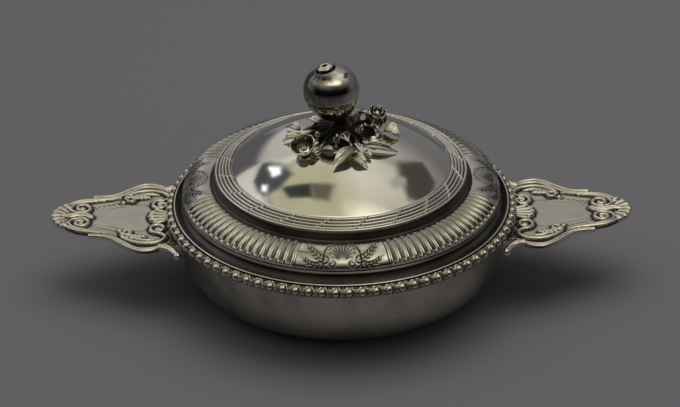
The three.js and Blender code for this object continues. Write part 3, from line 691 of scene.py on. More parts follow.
PANEL_HALF = 17.25 * DEGREE
FLUTES_PER_QUARTER = 18
FLUTE_PITCH = (90 * DEGREE - 2 * PANEL_HALF) / FLUTES_PER_QUARTER
FLUTE_DEPTH = 0.75
FLUTE_COLUMNS = 16
PANEL_COLUMNS = 190
FLUTE_FOOT = 2.5
FLUTE_TOP = 18.2
SHOULDER_ROWS = 64
PANEL_REFERENCE_R = 77
PANEL_CUT = 0.26
SHOULDER_LINE = [[79.3, SHOULDER_FOOT], [80.0, 51.2], [79.5, 53.0], [77.4, 55.3], [74.2, 57.4], [70.4, 58.5],
                 [66.6, 58.5], [NECK_FOOT_R, 57.6]]
SHOULDER_INSIDE = [[NECK_FOOT_R, 56.5], [66.9, 56.9], [70.0, 57.2], [74.6, 56.1], [77.4, 53.4], [78.4, 51.2],
                   [78.2, SHOULDER_FOOT]]


def from_segment(x, y, start, end):
    """How far points are from a segment, and the shares along it of their nearest places."""
    run = end - start
    share = np.clip(((x - start[0]) * run[0] + (y - start[1]) * run[1]) / max(run @ run, 1e-9), 0, 1)
    return np.hypot(x - start[0] - share * run[0], y - start[1] - share * run[1]), share


def stroke_field(x, y, line, width, start=1.0, end=1.0):
    """1 on a line, 0 beyond its half width, which tapers to a share at each end."""
    line = np.asarray(line, float)
    length = distance_along(line)
    low, high = line.min(0) - width, line.max(0) + width
    near = (x > low[0]) & (x < high[0]) & (y > low[1]) & (y < high[1])
    best = np.zeros(np.count_nonzero(near))
    for i in range(len(line) - 1):
        away, share = from_segment(x[near], y[near], line[i], line[i + 1])
        along = (length[i] + share * (length[i + 1] - length[i])) / length[-1]
        scale = width * np.interp(along, [0, 0.3, 0.7, 1], [start, 1, 1, end])
        best = np.maximum(best, soft_ridge(away / np.maximum(scale, 1e-3)) * scale / width)
    field = np.zeros_like(x)
    field[near] = best
    return field


def spiral_line(x, y, radius, start, turns, count=26, tighten=0.75):
    share = np.linspace(0, 1, count)
    turn = start * DEGREE + share * turns * FULL_TURN
    r = radius * (1 - tighten * share)
    return np.stack([x + r * np.cos(turn), y + r * np.sin(turn)], -1)


def barbs(line, count, length, spread, side):
    """Short curved strokes that leave a stem on one side, shorter toward its tip."""
    stem = even_line(np.asarray(line, float), count + 2)
    strokes = []
    for i in range(count):
        root, ahead = stem[i], stem[i + 1] - stem[i]
        turn = math.atan2(ahead[1], ahead[0]) + side * spread
        reach = length * (1 - 0.45 * i / count)
        middle = root + 0.55 * reach * np.array([math.cos(turn + 0.2 * side), math.sin(turn + 0.2 * side)])
        tip = root + reach * np.array([math.cos(turn - 0.15 * side), math.sin(turn - 0.15 * side)])
        strokes.append(smooth_line([root, middle, tip], 6))
    return strokes


def panel_strokes():
    """Right half of the engraved ornament: each stroke's line across and up, its width and its depth."""
    fan = np.array([0, 6.6])
    strokes = []
    for i in range(6):
        lean = i * 13 * DEGREE
        reach = 10.6 - 0.24 * i**2
        ray = np.array([math.sin(lean), math.cos(lean)])
        strokes.append(([fan + 1.6 * ray, fan + reach * ray], 0.36, 0.22))
        sides = lean + np.linspace(0, 13, 5) * DEGREE
        bow = reach + 0.5 * np.sin(np.linspace(0, math.pi, 5))
        strokes.append((fan + bow[:, None] * np.stack([np.sin(sides), np.cos(sides)], -1), 0.34, 0.2))
    hook = smooth_line([[5.2, 17.0], [7.4, 14.2], [8.9, 10.4], [9.3, 6.4], [8.4, 3.4], [6.6, 2.0]], 18)
    frond = smooth_line([[6.2, 6.4], [9.8, 6.9], [13.4, 9.4], [16.4, 12.6], [18.8, 16.2]], 18)
    low_leaf = smooth_line([[8.8, 4.4], [12.4, 3.4], [16.4, 4.6], [20.4, 8.2]], 16)
    strokes += [(hook, 0.42, 0.3), (frond, 0.38, 0.24), (low_leaf, 0.38, 0.24)]
    strokes.append((spiral_line(4.9, 4.4, 1.9, 80, 1.25), 0.36, 0.26))
    feathers = barbs(frond, 6, 4.4, 0.75, 1) + barbs(frond, 6, 3.6, 0.7, -1)
    feathers += barbs(low_leaf, 6, 3.2, 0.7, 1) + barbs(low_leaf, 5, 2.6, 0.7, -1)
    return strokes + [(line, 0.5, 0.22) for line in feathers]


def panel_relief(across, up):
    """Relief of a panel's engraving, and a field that is 1 where the ground round it is punched dull."""
    cuts, ground = np.zeros_like(across), np.zeros_like(across)
    for line, width, depth in panel_strokes():
        for mirror in (1, -1):
            cuts = np.maximum(cuts, depth * stroke_field(across * mirror, up, line, width, 0.5, 0.4))
            ground = np.maximum(ground, stroke_field(across * mirror, up, line, 4 * width))
    edge = PANEL_HALF * PANEL_REFERENCE_R - 0.9
    border = soft_ridge((np.abs(across) - edge) / 0.34)
    fade = bump_step(up, 0.8, 1.6) * (1 - bump_step(up, 17.6, 18.6))
    return -np.maximum(cuts, PANEL_CUT * border * fade), ground


def flute_relief(offset, radius, up, top):
    """Relief of flutes with their patina and painted shade: offset is -0.5 to 0.5 across a flute, up is
    along the section.
    """
    pitch = FLUTE_PITCH * radius
    across = np.abs(offset) * pitch
    hollow_half, rim, rim_half = 0.28 * pitch, 0.36 * pitch, 0.12 * pitch
    low = FLUTE_FOOT + rim + rim_half
    away = (across**3 + np.maximum(low - up, 0)**3)**(1 / 3)
    inner = soft_ridge(away / hollow_half)
    ridge = soft_ridge((away - rim) / rim_half)**0.7
    between = soft_ridge((0.5 * pitch - across) / (0.05 * pitch)) * bump_step(up, FLUTE_FOOT, low + 0.6)
    fade = 1 - bump_step(up, top - 3, top)
    soft = (1 - 0.3 * bump_step(up, 5, 12)) * fade
    crest = 0.34 + 0.28 * (1 - bump_step(up, low - 0.5, low + 2.5))
    relief = (crest * ridge - FLUTE_DEPTH * inner**0.8 - 0.15 * between) * soft
    streak = 0.5 + 0.5 * np.cos(3 * FULL_TURN * offset)
    relief = relief - 0.09 * streak * bump_step(up, 7, 11) * fade
    # Patina and painted shade in the flutes' hollows and between them, and painted shade in streaks toward
    # the top
    patina_and_painted_light = 0.9 * inner**0.45 * (1 - 0.3 * bump_step(up, 5, 13)) + 0.5 * between
    patina_and_painted_light = np.maximum(patina_and_painted_light, (0.2 + 0.35 * streak) * bump_step(up, 8, 13))
    return relief, np.clip(patina_and_painted_light, 0, 1)


def panel_arc(profile, up, quarter, chance):
    turn = np.linspace(-PANEL_HALF, PANEL_HALF, PANEL_COLUMNS + 1)
    relief, ground = panel_relief(turn * PANEL_REFERENCE_R + 0 * up, up + 0 * turn)
    engraved = np.clip(-relief / PANEL_CUT, 0, 1) * 0.75 + 0.25 * ground + 0.2
    relief = relief - 0.05 * ground * chance.uniform(0, 1, ground.shape)
    return shoulder_arc(profile, up, relief, turn + quarter * 90 * DEGREE, engraved)


def flute_arc(profile, up, quarter, chance):
    share = np.arange(FLUTES_PER_QUARTER * FLUTE_COLUMNS + 1) / FLUTE_COLUMNS
    tops = FLUTE_TOP + 0.5 * chance.uniform(-1, 1, FLUTES_PER_QUARTER + 1)
    relief, patina_and_painted_light = flute_relief(share % 1 - 0.5, profile[:, :1], up, tops[share.astype(int)])
    angles = quarter * 90 * DEGREE + PANEL_HALF + share * FLUTE_PITCH
    return shoulder_arc(profile, up, relief, angles, patina_and_painted_light)


def shoulder_arc(profile, up, relief, angles, patina_and_shade):
    relief = relief * bump_step(up, 0, 0.6) * (1 - bump_step(up, up[-1] - 0.6, up[-1]))
    # Painted shade toward the neck and at the foot of the shoulder
    upper = 0.75 * bump_step(up, FLUTE_TOP, up[-1] - 0.3)
    foot = 0.8 * (1 - bump_step(up, 0.5, 1.8))
    patina_and_shade = np.clip(np.maximum(patina_and_shade, np.maximum(upper, foot)), 0, 1)
    return relief_arc(profile, relief, angles, SHOULDER_INSIDE, patina_and_shade)


def relief_points(profile, relief, angles, inside, patina_and_shade):
    """Rows and columns of points: the profile raised by a relief, then a plain inside that closes it."""
    normals = section_normals(profile)
    raised = profile[:, None] + normals[:, None] * relief[..., None]
    plain = np.repeat(np.asarray(inside, float)[:, None], len(angles), 1)
    points = turned_points(np.concatenate([raised, plain]), angles)
    return points, np.concatenate([patina_and_shade, np.zeros((len(plain), len(angles)))])


def relief_ring(profile, relief, angles, inside, patina_and_shade):
    """Such a body all the way round."""
    points, values = relief_points(profile, relief, angles, inside, patina_and_shade)
    return points.reshape(-1, 3), [grid_faces(len(points), len(angles), True, True)], values.ravel()


def relief_arc(profile, relief, angles, inside, patina_and_shade):
    """Such a body part of the way round, closed at both ends by its section."""
    points, values = relief_points(profile, relief, angles, inside, patina_and_shade)
    rows, columns = points.shape[:2]
    start = (np.arange(rows) * columns)[None]
    faces = [grid_faces(rows, columns, True, False), start, (start + columns - 1)[:, ::-1]]
    return points.reshape(-1, 3), faces, values.ravel()


def add_shoulder():
    profile = smooth_line(SHOULDER_LINE, SHOULDER_ROWS)
    up = distance_along(profile)[:, None]
    chance = np.random.default_rng(3)
    for name, arc in (("shoulder_panels", panel_arc), ("shoulder_flutes", flute_arc)):
        mesh = merged([arc(profile, up, quarter, chance) for quarter in range(4)])
        add_piece(name, mesh, RAISED, "cover", "cover_shell", SHARP_CHASED)


# Egg and dart border

EGG_COUNT = 84
EGG_COLUMNS = 20
EGG_ROWS = 34
EGG_UP = 5.2
EGG_HALF = 1.75
EGG_TALL = 2.4
EGG_GROUND = 0.75


def ovolo_relief(across, up, pitch):
    """Height above the ground of the eggs, of the hoods round them and of the darts between them."""
    egg = np.hypot(across / EGG_HALF, (up - EGG_UP) / EGG_TALL)
    hood = np.hypot((across - 0.1) / (EGG_HALF + 0.8), (up - EGG_UP) / (EGG_TALL + 0.6))
    open_foot = bump_step(up, 2.0, 3.6)
    ridge = round_ridge((hood - 1) / 0.2) * open_foot * (0.75 + 0.25 * np.sign(across))
    outside_hood = bump_step(hood, 1.0, 1.25) * open_foot
    edge = across - np.sign(across) * pitch / 2
    dart = round_ridge(edge / 0.42) * bump_step(up, 1.2, 2.4) * (1 - bump_step(up, 4.4, 5.6))
    return np.max([1.55 * round_ridge(egg), 1.5 * ridge, 0.12 * outside_hood, 0.45 * dart], axis=0)


def add_ovolo_border():
    top, foot = BORDER_TOP, BORDER_FOOT - 0.6
    line = [[86.1, foot + 0.3], [87.0, foot], [87.9, foot + 0.8], [88.1, foot + 2.3], [87.5, foot + 3.9],
            [86.6, top - 0.4], [85.5, top + 0.2]]
    profile = smooth_line(line, EGG_ROWS)
    up = distance_along(profile)[:, None]
    pitch = FULL_TURN * BORDER_R / EGG_COUNT
    columns = EGG_COUNT * EGG_COLUMNS
    across = (np.arange(columns) / EGG_COLUMNS % 1 - 0.5) * pitch
    ends = bump_step(up, 0, 0.5) * (1 - bump_step(up, up[-1] - 0.3, up[-1]))
    relief = (ovolo_relief(across, up, pitch) - EGG_GROUND) * ends
    # Patina and painted shade on the ground round the eggs, and painted shade along the lower part of the
    # border
    patina_and_shade = np.clip(-relief / EGG_GROUND, 0, 1)**1.2 * 0.8
    patina_and_shade = np.maximum(patina_and_shade, 0.95 * (1 - bump_step(up, 2.0, 4.2)))
    inside = [[85.5, top - 0.4], [86.05, top - 0.6], [86.05, foot + 2.4], [85.9, foot + 0.7]]
    mesh = relief_ring(profile, relief, circle(columns), inside, patina_and_shade)
    add_piece("egg_and_dart", mesh, CAST, "cover", "ovolo_border", SHARP_CHASED)


# Wires, reeds and bezel

WIRE_POINTS = 24
REED_COUNT = 4
REED_RISE = 3.1
REED_COLUMNS = 1440
REED_ROWS = REED_COUNT * 10 + 1
TIE_COUNT = 20
TIE_SLANT = 8 * DEGREE
BEZEL_T = 1.1
BEZEL_ROUND = 0.5


def add_wire(name, node, painted_highlight_span):
    """A drawn wire that fills its node's box, with a painted highlight on its crest and painted shade at its
    sides.
    """
    outer, foot, top = extent(node)
    half = (top - foot) / 2
    section = arc_line(outer - half, foot + half, half, -90, 270, WIRE_POINTS + 1)[:-1]
    turn = np.linspace(-90, 270, WIRE_POINTS + 1)[:-1]
    patina_and_shade = 0.85 * bump_step(np.abs(turn - 75), painted_highlight_span, painted_highlight_span + 45)
    add_piece(name, turned_ring(section, patina_and_shade), DRAWN, "cover", node)


def add_wires():
    add_wire("drawn_edge_wire", "edge_wire", 25)
    add_wire("drawn_bead", "shoulder_bead", 60)


def add_reeds():
    width = REED_OUTER_R - DOME_FOOT_R
    inward = np.linspace(0, 1, REED_ROWS)
    base = np.stack([REED_OUTER_R - inward * width, REED_FOOT + REED_RISE * inward + 0.15], -1)
    crown = round_ridge((2 * (inward * REED_COUNT % 1) - 1) / 0.84)
    relief = 0.95 * crown * math.cos(math.atan2(REED_RISE, width))
    angles = circle(REED_COLUMNS)
    spacing = FULL_TURN / TIE_COUNT
    shift = angles[None] - 0.3 * spacing - TIE_SLANT * inward[:, None]
    away = (shift + spacing / 2) % spacing - spacing / 2
    across = np.abs(away) * base[:, :1]
    inside_tie = 1 - bump_step(across, 0.62, 0.85)
    draped = 0.62 + 0.42 * crown[:, None] + 0.16 * bump_step(across, 0.25, 0.6)
    ends = bump_step(inward, 0, 0.02) * (1 - bump_step(inward, 0.98, 1))
    relief = np.maximum(relief[:, None], inside_tie * draped * ends[:, None])
    # Patina and painted shade between the reeds and beside the ties
    patina_and_shade = 0.9 * ((1 - crown)**1.2)[:, None] * (1 - inside_tie)
    inside = [[DOME_FOOT_R + 0.2, REED_FOOT + REED_RISE - 0.3], [REED_OUTER_R, REED_FOOT]]
    mesh = relief_ring(base, relief, angles, inside, patina_and_shade)
    add_piece("reeds_and_ties", mesh, DRAWN, "cover", "reed_and_tie_band", SHARP_CHASED)


def add_bezel():
    inner, middle = BEZEL_R - BEZEL_T, BEZEL_FOOT + BEZEL_ROUND
    section = np.vstack([
        [[inner, BEZEL_TOP], [inner, middle]],
        arc_line(inner + BEZEL_ROUND, middle, BEZEL_ROUND, 180, 270, 5)[1:],
        arc_line(BEZEL_R - BEZEL_ROUND, middle, BEZEL_ROUND, 270, 360, 5),
        [[BEZEL_R, BEZEL_TOP]],
    ])
    mesh = turned_ring(section)
    add_piece("bezel_ring", mesh, DRAWN, "cover", "cover_bezel", SHARP_TURNED)


# Handles. Each is a plate in plan, raised by a relief of reeds, scrolls, a fan and a shell.

HANDLE_TOP = 35.4
HANDLE_RISE = 0.035
HANDLE_ROOT_X = 90
HANDLE_T = 1.7
HANDLE_STEP = 0.3
HANDLE_HALF_Y = 36
HANDLE_ROOT_Y = 26.1
UNDERSIDE_STEPS = 8
BLUR_CELLS = 4

# How much of the relief is left at the outline, and how far its upper and lower edges are rounded off
EDGE_SHARE = 0.5
UPPER_EDGE = 0.2
LOWER_EDGE = 0.45

# What the triangulation keeps, and how near two points count as one
INSIDE_ONLY = 1
SAME_POINT = 1e-5

# The fan at the root and the shell at the tip
FAN_X = 76.5
FAN_RIB = 9.6 * DEGREE
SHELL_CENTRE_X = 134
SHELL_REACH = 66 * DEGREE
SHELL_LOBES = 7

# x, y, radius and height of the round bosses in the volutes
BOSSES = [(92.2, 11.9, 2.0, 0.9), (131.8, 7.3, 1.8, 0.8), (111.6, 14.4, 1.3, 1.3)]


def shell_edge():
    radius = HANDLE_TIP_X - SHELL_CENTRE_X
    turn = np.linspace(SHELL_REACH, -SHELL_REACH, SHELL_LOBES * 12 + 1)
    lobe = np.abs(np.sin((turn / SHELL_REACH + 1) * SHELL_LOBES * math.pi / 2))
    r = radius - 0.9 * (1 - lobe**0.6)
    return np.stack([SHELL_CENTRE_X + r * np.cos(turn), r * np.sin(turn)], -1)


def handle_outline():
    sweep = math.asin(HANDLE_ROOT_Y / WALL_R) / DEGREE
    root = arc_line(0, 0, WALL_R, -sweep, sweep, 60)
    bulge = smooth_line([[79.2, HANDLE_ROOT_Y], [84.5, 26.5], [88.6, 28], [91.6, 31.6], [95.5, 34.2],
                         [100.5, 34.6], [105.5, 32], [110.5, 27.4], [115.2, 23.2], [120, 21],
                         [126.6, 20.5]], 120)
    corner = [[127.3, 19.6], [127.5, 17.7]]
    shoulder = smooth_line([[127.5, 17.7], [133, 16.5], [137, 14.1], [139.3, 12.2]], 20)
    upper = np.vstack([bulge[1:], corner, shoulder[1:]])
    lower = (upper * [1, -1])[::-1]
    return np.vstack([root, upper, shell_edge()[1:-1], lower[:-1]])


def handle_strands():
    """Reliefs of the upper half: line, half width, height, taper at the start and at the end."""
    scroll = [[91.4, 16.2], [88.4, 19.2], [89.4, 22.8], [93.6, 25.7], [99.4, 26.5], [105, 24.7],
              [109.4, 21.2], [110.6, 17.8]]
    outer = [[80, 25.3], [85.5, 26.1], [90.4, 29.7], [94.4, 32.4], [100.2, 33.5], [105, 31.2], [110, 26.9],
             [115, 22.6], [120, 20.3], [126.6, 19.8]]
    inner = [[86, 24.9], [89.6, 27.2], [93, 29.8], [96.8, 31.2], [100.6, 31.3], [104.2, 29.6], [108.8, 25.4],
             [114, 20.9], [119.4, 18.7], [126.8, 18.3]]
    tip_outer = [[113, 18.9], [118, 17.2], [125, 16.3], [132, 15.2], [136.6, 12.7], [139.6, 9], [140.2, 5.4],
                 [138.6, 3.4]]
    tip_inner = [[121, 15.6], [127, 14.7], [132.4, 13.2], [136.2, 10.6], [137.7, 7.2], [136.4, 4.2],
                 [133, 3]]
    under_scroll = [[93.6, 22.6], [97.6, 23.4], [101.6, 22.7], [105.6, 20.6]]
    strands = [
        (smooth_line(outer, 60), 1.05, 1.1, 0.6, 0.9),
        (smooth_line(inner, 60), 0.9, 0.8, 0.5, 0.8),
        (smooth_line(scroll, 44), 1.2, 1.5, 0.8, 0.9),
        (spiral_line(92.2, 11.9, 4.6, 90, -1.1, 40, 0.62), 1.15, 1.6, 1, 0.9),
        (spiral_line(108.1, 16.4, 2.7, 25, 0.95, 26, 0.5), 0.95, 1.6, 1, 0.8),
        (smooth_line(tip_outer, 44), 1.1, 1.4, 0.3, 0.4),
        (smooth_line(tip_inner, 36), 0.9, 1.3, 0.2, 0.9),
        (spiral_line(131.8, 7.3, 4.5, -75, -1.1, 40, 0.6), 1.1, 1.5, 1, 0.9),
        (smooth_line(under_scroll, 16), 0.95, 1.2, 0.3, 0.8),
    ]
    for i in range(4):
        x, y = 101.2 + 2.1 * i, 21.9 - 0.3 * i
        nick = smooth_line([[x, y], [x - 1.3, y - 1.8], [x - 3.2, y - 2.4]], 8)
        strands.append((nick, 1.15, 1.3, 1.0, 0.35))
    return strands


def ground_sprays():
    """Engraved feathers on the plain ground, upper half: a stem with short curved barbs."""
    lines = [smooth_line([[112.5, 14.6], [117, 12.6], [122, 11.2], [127, 10.2]], 12),
             smooth_line([[108, 11.4], [112, 10.9], [116.5, 9.2], [121, 7.8]], 12)]
    for i in range(7):
        x = 111 + 2.2 * i
        y = 14.2 - 0.42 * (x - 111)
        lines.append(smooth_line([[x + 2.6, y + 1.6], [x + 0.9, y + 0.3], [x - 1.2, y - 1.9]], 6))
    for i in range(4):
        x = 100 + 2.6 * i
        lines.append(smooth_line([[x + 2.2, 14.2], [x, 13.2], [x - 2, 11.6]], 6))
    return lines


def handle_relief(x, y):
    up = np.abs(y)
    relief = np.maximum(fan_relief(x, y), tip_relief(x, y))
    for line, width, height, start, end in handle_strands():
        relief = np.maximum(relief, height * np.sqrt(stroke_field(x, up, line, width, start, end)))
    for boss_x, boss_y, boss_r, height in BOSSES:
        away = np.hypot(x - boss_x, up - boss_y) / boss_r
        relief = np.maximum(relief, height * round_ridge(away))
    for line in ground_sprays():
        cut = stroke_field(x, up, line, 0.5, 0.5, 0.3)
        relief = np.where(relief < 0.05, relief - 0.22 * cut, relief)
    return relief


def fan_relief(x, y):
    """Fan of five ribs at the root, ended by a scalloped arc."""
    turn = np.arctan2(y, x - FAN_X) / FAN_RIB
    reach = np.hypot(x - FAN_X, y)
    rib = np.abs((turn + 0.5) % 1 - 0.5) * 2
    number = np.round(turn)
    length = 21.6 - 0.42 * number**2
    inside = np.abs(number) <= 2
    tip = np.clip((length - reach) / 1.5, 0, 1)
    height = (0.35 + 1.15 * round_ridge(rib)) * np.sqrt(tip) * inside
    scallop = round_ridge((reach - length + 1.6 * rib**2 + 0.4) / 0.75) * inside
    return np.maximum(height, 1.6 * scallop)


def tip_relief(x, y):
    """Fluted shell at the tip and the leaf that rises from it between the two volutes."""
    turn = np.arctan2(y, x - SHELL_CENTRE_X)
    reach = np.hypot(x - SHELL_CENTRE_X, y)
    share = (turn / SHELL_REACH + 1) * SHELL_LOBES / 2
    across = np.abs(share % 1 - 0.5) * 2
    inside = (np.abs(turn) < SHELL_REACH) * bump_step(reach, 5.5, 7) * (x > SHELL_CENTRE_X + 3)
    radius = HANDLE_TIP_X - SHELL_CENTRE_X
    swell = 0.5 + 0.5 * bump_step(reach, 6, radius - 1.5)
    ribs = (0.15 + 1.45 * round_ridge(across)) * swell
    ribs *= np.sqrt(np.clip((radius + 0.3 - reach) / 1.6, 0, 1)) * inside
    spine = smooth_line([[126.9, 1.5], [129.4, -0.3], [133.4, -0.5], [137.6, 0.7], [141.5, 0.2]], 26)
    leaf = 1.9 * np.sqrt(stroke_field(x, y, spine, 2.2, 0.75, 0.5))
    vein = stroke_field(x, y, spine, 0.5, 0.4, 0.4)
    return np.maximum(ribs, leaf - 0.5 * vein * (leaf > 0.3))


def blurred(field, cells):
    """Softened over a number of cells."""
    kernel = np.exp(-0.5 * (np.arange(-3 * cells, 3 * cells + 1) / cells)**2)
    kernel /= kernel.sum()
    for axis in (0, 1):
        field = np.apply_along_axis(lambda row: np.convolve(row, kernel, mode="same"), axis, field)
    return field


def inside_polygon(x, y, outline):
    inside = np.zeros(x.shape, bool)
    for (ax, ay), (bx, by) in zip(outline, np.roll(outline, -1, axis=0)):
        crosses = (ay > y) != (by > y)
        inside ^= crosses & (x < (bx - ax) * (y - ay) / (by - ay + 1e-12) + ax)
    return inside


def sample(field, x, y, low_x, low_y):
    """Values of a field between the points of the handle's grid."""
    column = np.clip((x - low_x) / HANDLE_STEP, 0, field.shape[1] - 1.001)
    row = np.clip((y - low_y) / HANDLE_STEP, 0, field.shape[0] - 1.001)
    c, r = column.astype(int), row.astype(int)
    u, v = column - c, row - r
    low = field[r, c] * (1 - u) + field[r, c + 1] * u
    high = field[r + 1, c] * (1 - u) + field[r + 1, c + 1] * u
    return low * (1 - v) + high * v


def filled_outline(outline, inner):
    """Triangles of a plan: its outline points come first, then the inner points."""
    count = len(outline)
    points = [Vector(p) for p in np.vstack([outline, inner])]
    edges = [(i, (i + 1) % count) for i in range(count)]
    found, _, triangles, *_ = delaunay_2d_cdt(points, edges, [], INSIDE_ONLY, SAME_POINT)
    flat = np.array([tuple(p) for p in found])
    triangles = np.array(triangles)
    a, b, c = (flat[triangles[:, k]] for k in range(3))
    area = (b[:, 0] - a[:, 0]) * (c[:, 1] - a[:, 1]) - (b[:, 1] - a[:, 1]) * (c[:, 0] - a[:, 0])
    triangles[area < 0] = triangles[area < 0][:, ::-1]
    return flat, triangles


def away_from_outline(x, y, outline, clearance):
    near = np.full(x.shape, np.inf)
    for start, end in zip(outline, np.roll(outline, -1, axis=0)):
        near = np.minimum(near, from_segment(x, y, start, end)[0])
    return near > clearance


def plate_height(x):
    """Height of the handle's ground, which rises toward its tip."""
    return HANDLE_TOP + HANDLE_RISE * (x - HANDLE_ROOT_X)


def handle_mesh():
    """A fine upper side, a coarse under side and the wall between them."""
    low_x, low_y = WALL_R - 6, -HANDLE_HALF_Y
    x = np.arange(low_x, HANDLE_TIP_X + 1, HANDLE_STEP)
    y = np.arange(low_y, HANDLE_HALF_Y + HANDLE_STEP, HANDLE_STEP)
    grid_x, grid_y = np.meshgrid(x, y)
    relief = handle_relief(grid_x, grid_y)
    # Dull ground, and patina with painted shade in the recesses beside the relief
    ground = 0.17 * (1 - bump_step(relief, 0.2, 0.8))
    patina_and_shade = np.clip(ground + np.maximum((blurred(relief, BLUR_CELLS) - relief - 0.02) * 4, 0), 0, 1)
    outline = handle_outline()
    count = len(outline)
    fine = inside_polygon(grid_x, grid_y, outline)
    fine &= away_from_outline(grid_x, grid_y, outline, 0.6 * HANDLE_STEP)
    rows, columns = np.indices(fine.shape)
    coarse = fine & (rows % UNDERSIDE_STEPS == 0) & (columns % UNDERSIDE_STEPS == 0)
    over, triangles = filled_outline(outline, np.stack([grid_x[fine], grid_y[fine]], -1))
    under, under_triangles = filled_outline(outline, np.stack([grid_x[coarse], grid_y[coarse]], -1))
    height = sample(relief, over[:, 0], over[:, 1], low_x, low_y)
    height[:count] = height[:count] * EDGE_SHARE - UPPER_EDGE
    base = plate_height(under[:, 0]) - HANDLE_T
    base[:count] += LOWER_EDGE
    top = np.column_stack([over, plate_height(over[:, 0]) + height])
    bottom = np.column_stack([under, base])
    ring = np.arange(count)
    after = (ring + 1) % count
    wall = np.stack([after, after + len(over), ring + len(over), ring], -1)
    faces = [triangles, under_triangles[:, ::-1] + len(over), wall]
    values = np.concatenate([sample(patina_and_shade, over[:, 0], over[:, 1], low_x, low_y), np.zeros(len(under))])
    return np.vstack([top, bottom]), faces, values


def tube_mesh(line, radii, sides, flat=1.0):
    """Round-ended tube along a line; flat squashes its section upward."""
    tangent = unit(np.gradient(line, axis=0))
    side = unit(np.cross(tangent, [0, 0, 1.0]))
    up = np.cross(tangent, side)
    turn = circle(sides)[:, None]
    ring = side[:, None] * np.cos(turn) + flat * up[:, None] * np.sin(turn)
    points = line[:, None] + radii[:, None, None] * ring
    first = line[0] - tangent[0] * radii[0] * 0.6
    last = line[-1] + tangent[-1] * radii[-1] * 0.6
    points = np.vstack([points.reshape(-1, 3), first, last])
    return points, capped_faces(len(line), sides), np.zeros(len(points))


def ball_mesh(centre, radius, rows=9, columns=14, scale=(1, 1, 1)):
    polar = np.linspace(0, math.pi, rows)
    points, faces, values = turned_mesh(np.stack([np.sin(polar), -np.cos(polar)], -1), columns)
    return points * radius * np.array(scale) + np.asarray(centre), faces, values


def bracket_mesh(side):
    """Small scroll that ties the handle's shoulder to the bowl's wall."""
    z = HANDLE_TOP - 0.1
    plan = [[91.4, 28.9], [88.4, 29.6], [85.2, 31.6], [82.9, 34.6], [81.3, 37.6]]
    line = smooth_line([[x, side * y, z] for x, y in plan], 20)
    radii = np.interp(np.linspace(0, 1, len(line)), [0, 0.35, 0.8, 1], [1.9, 2.3, 1.8, 1.5])
    return merged([tube_mesh(line, radii, 14, 0.85), ball_mesh(line[-1] + [0.1, 0.6 * side, 0], 2.2)])


def add_handles():
    plate = handle_mesh()
    brackets = merged([bracket_mesh(1), bracket_mesh(-1)])
    for name, direction in (("right", 1), ("left", -1)):
        axes = np.diag([direction, direction, 1])
        for piece, mesh in (("cast_handle", plate), ("handle_brackets", brackets)):
            add_piece(f"{piece}_{name}", moved(mesh, axes), CAST, "bowl", f"handle_{name}")


# Finial and spray. Every leaf, flower and bud is its own casting, soldered to the twigs on the dome.

FRUIT_LEAN = 13 * DEGREE
FRUIT_AXIS = np.array([-math.sin(FRUIT_LEAN), 0, math.cos(FRUIT_LEAN)])
FRUIT_FOOT = np.array([-0.6, 0, 91.3])
FRUIT_LINE = [[0, 0], [4.5, 0.8], [8.8, 4], [11.8, 8.4], [13.6, 12.6], [14, 16.4], [13.2, 21], [10.6, 25.2],
              [6.4, 27.8], [5.1, 28.1], [4.6, 27.6]]
CROWN_LINE = [[2.5, 0], [2.7, 1.3], [3.4, 1.6], [3.9, 2.1], [3.7, 2.7], [2.7, 3.4], [1.8, 3.6], [1.3, 3.3],
              [1.0, 2.4]]
CROWN_SEAT = 26.6
SOLDER_GAP = 0.05
# Undersides of leaves and petals are painted in shade
UNDERSIDE_SHADE = 0.35


def stood_frame(direction):
    """Axes for a turned shape that stands along a direction."""
    z = unit(np.array(direction, float))
    x = unit(np.cross([0, 1.0, 0], z))
    return np.stack([x, np.cross(z, x), z])


def fruit_patina_and_painted_light(points):
    """Streaked patina, with painted shade at the left, painted light at the right, a painted highlight where
    the light falls on its upper side, and painted shade in the crown's hole.
    """
    turn, height = turn_of(points), points[:, 2]
    streak = 0.5 + 0.3 * np.sin(17 * turn + 0.2 * height) + 0.2 * np.sin(31 * turn - 0.3 * height)
    low = 1 - bump_step(height, 3, 17)
    left = bump_step(-np.cos(turn), -0.2, 0.7)
    right = bump_step(np.cos(turn), 0.15, 0.8)
    # Painted highlight on the upper side, toward the front and right
    painted_highlight = bump_step(np.cos(turn + 1.15), 0.74, 0.97) * bump_step(height, 21.5, 24)
    painted_highlight *= 1 - bump_step(height, 25.6, 27)
    patina_and_painted_light = 0.54 + 0.14 * (streak + left) - 0.54 * painted_highlight - 0.28 * right
    patina_and_painted_light += (0.1 * left - 0.18 + 0.16 * streak) * low
    # Painted shade in the hole under the crown
    hole = (1 - bump_step(radius_of(points), 4.9, 6.6)) * (height > 20)
    return np.clip(np.maximum(patina_and_painted_light, 0.95 * hole), 0, 1)


def add_fruit():
    inset = CROWN_SEAT - 0.2
    line = smooth_line(FRUIT_LINE, 60)
    points, faces, _ = turned_mesh(np.vstack([[0, 0], line[1:], [4.3, inset], [0, inset]]), 96)
    mesh = moved((points, faces, fruit_patina_and_painted_light(points)), stood_frame(FRUIT_AXIS), FRUIT_FOOT)
    add_piece("round_fruit", mesh, POLISHED, "cover", "finial_fruit", SHARP_CHASED)


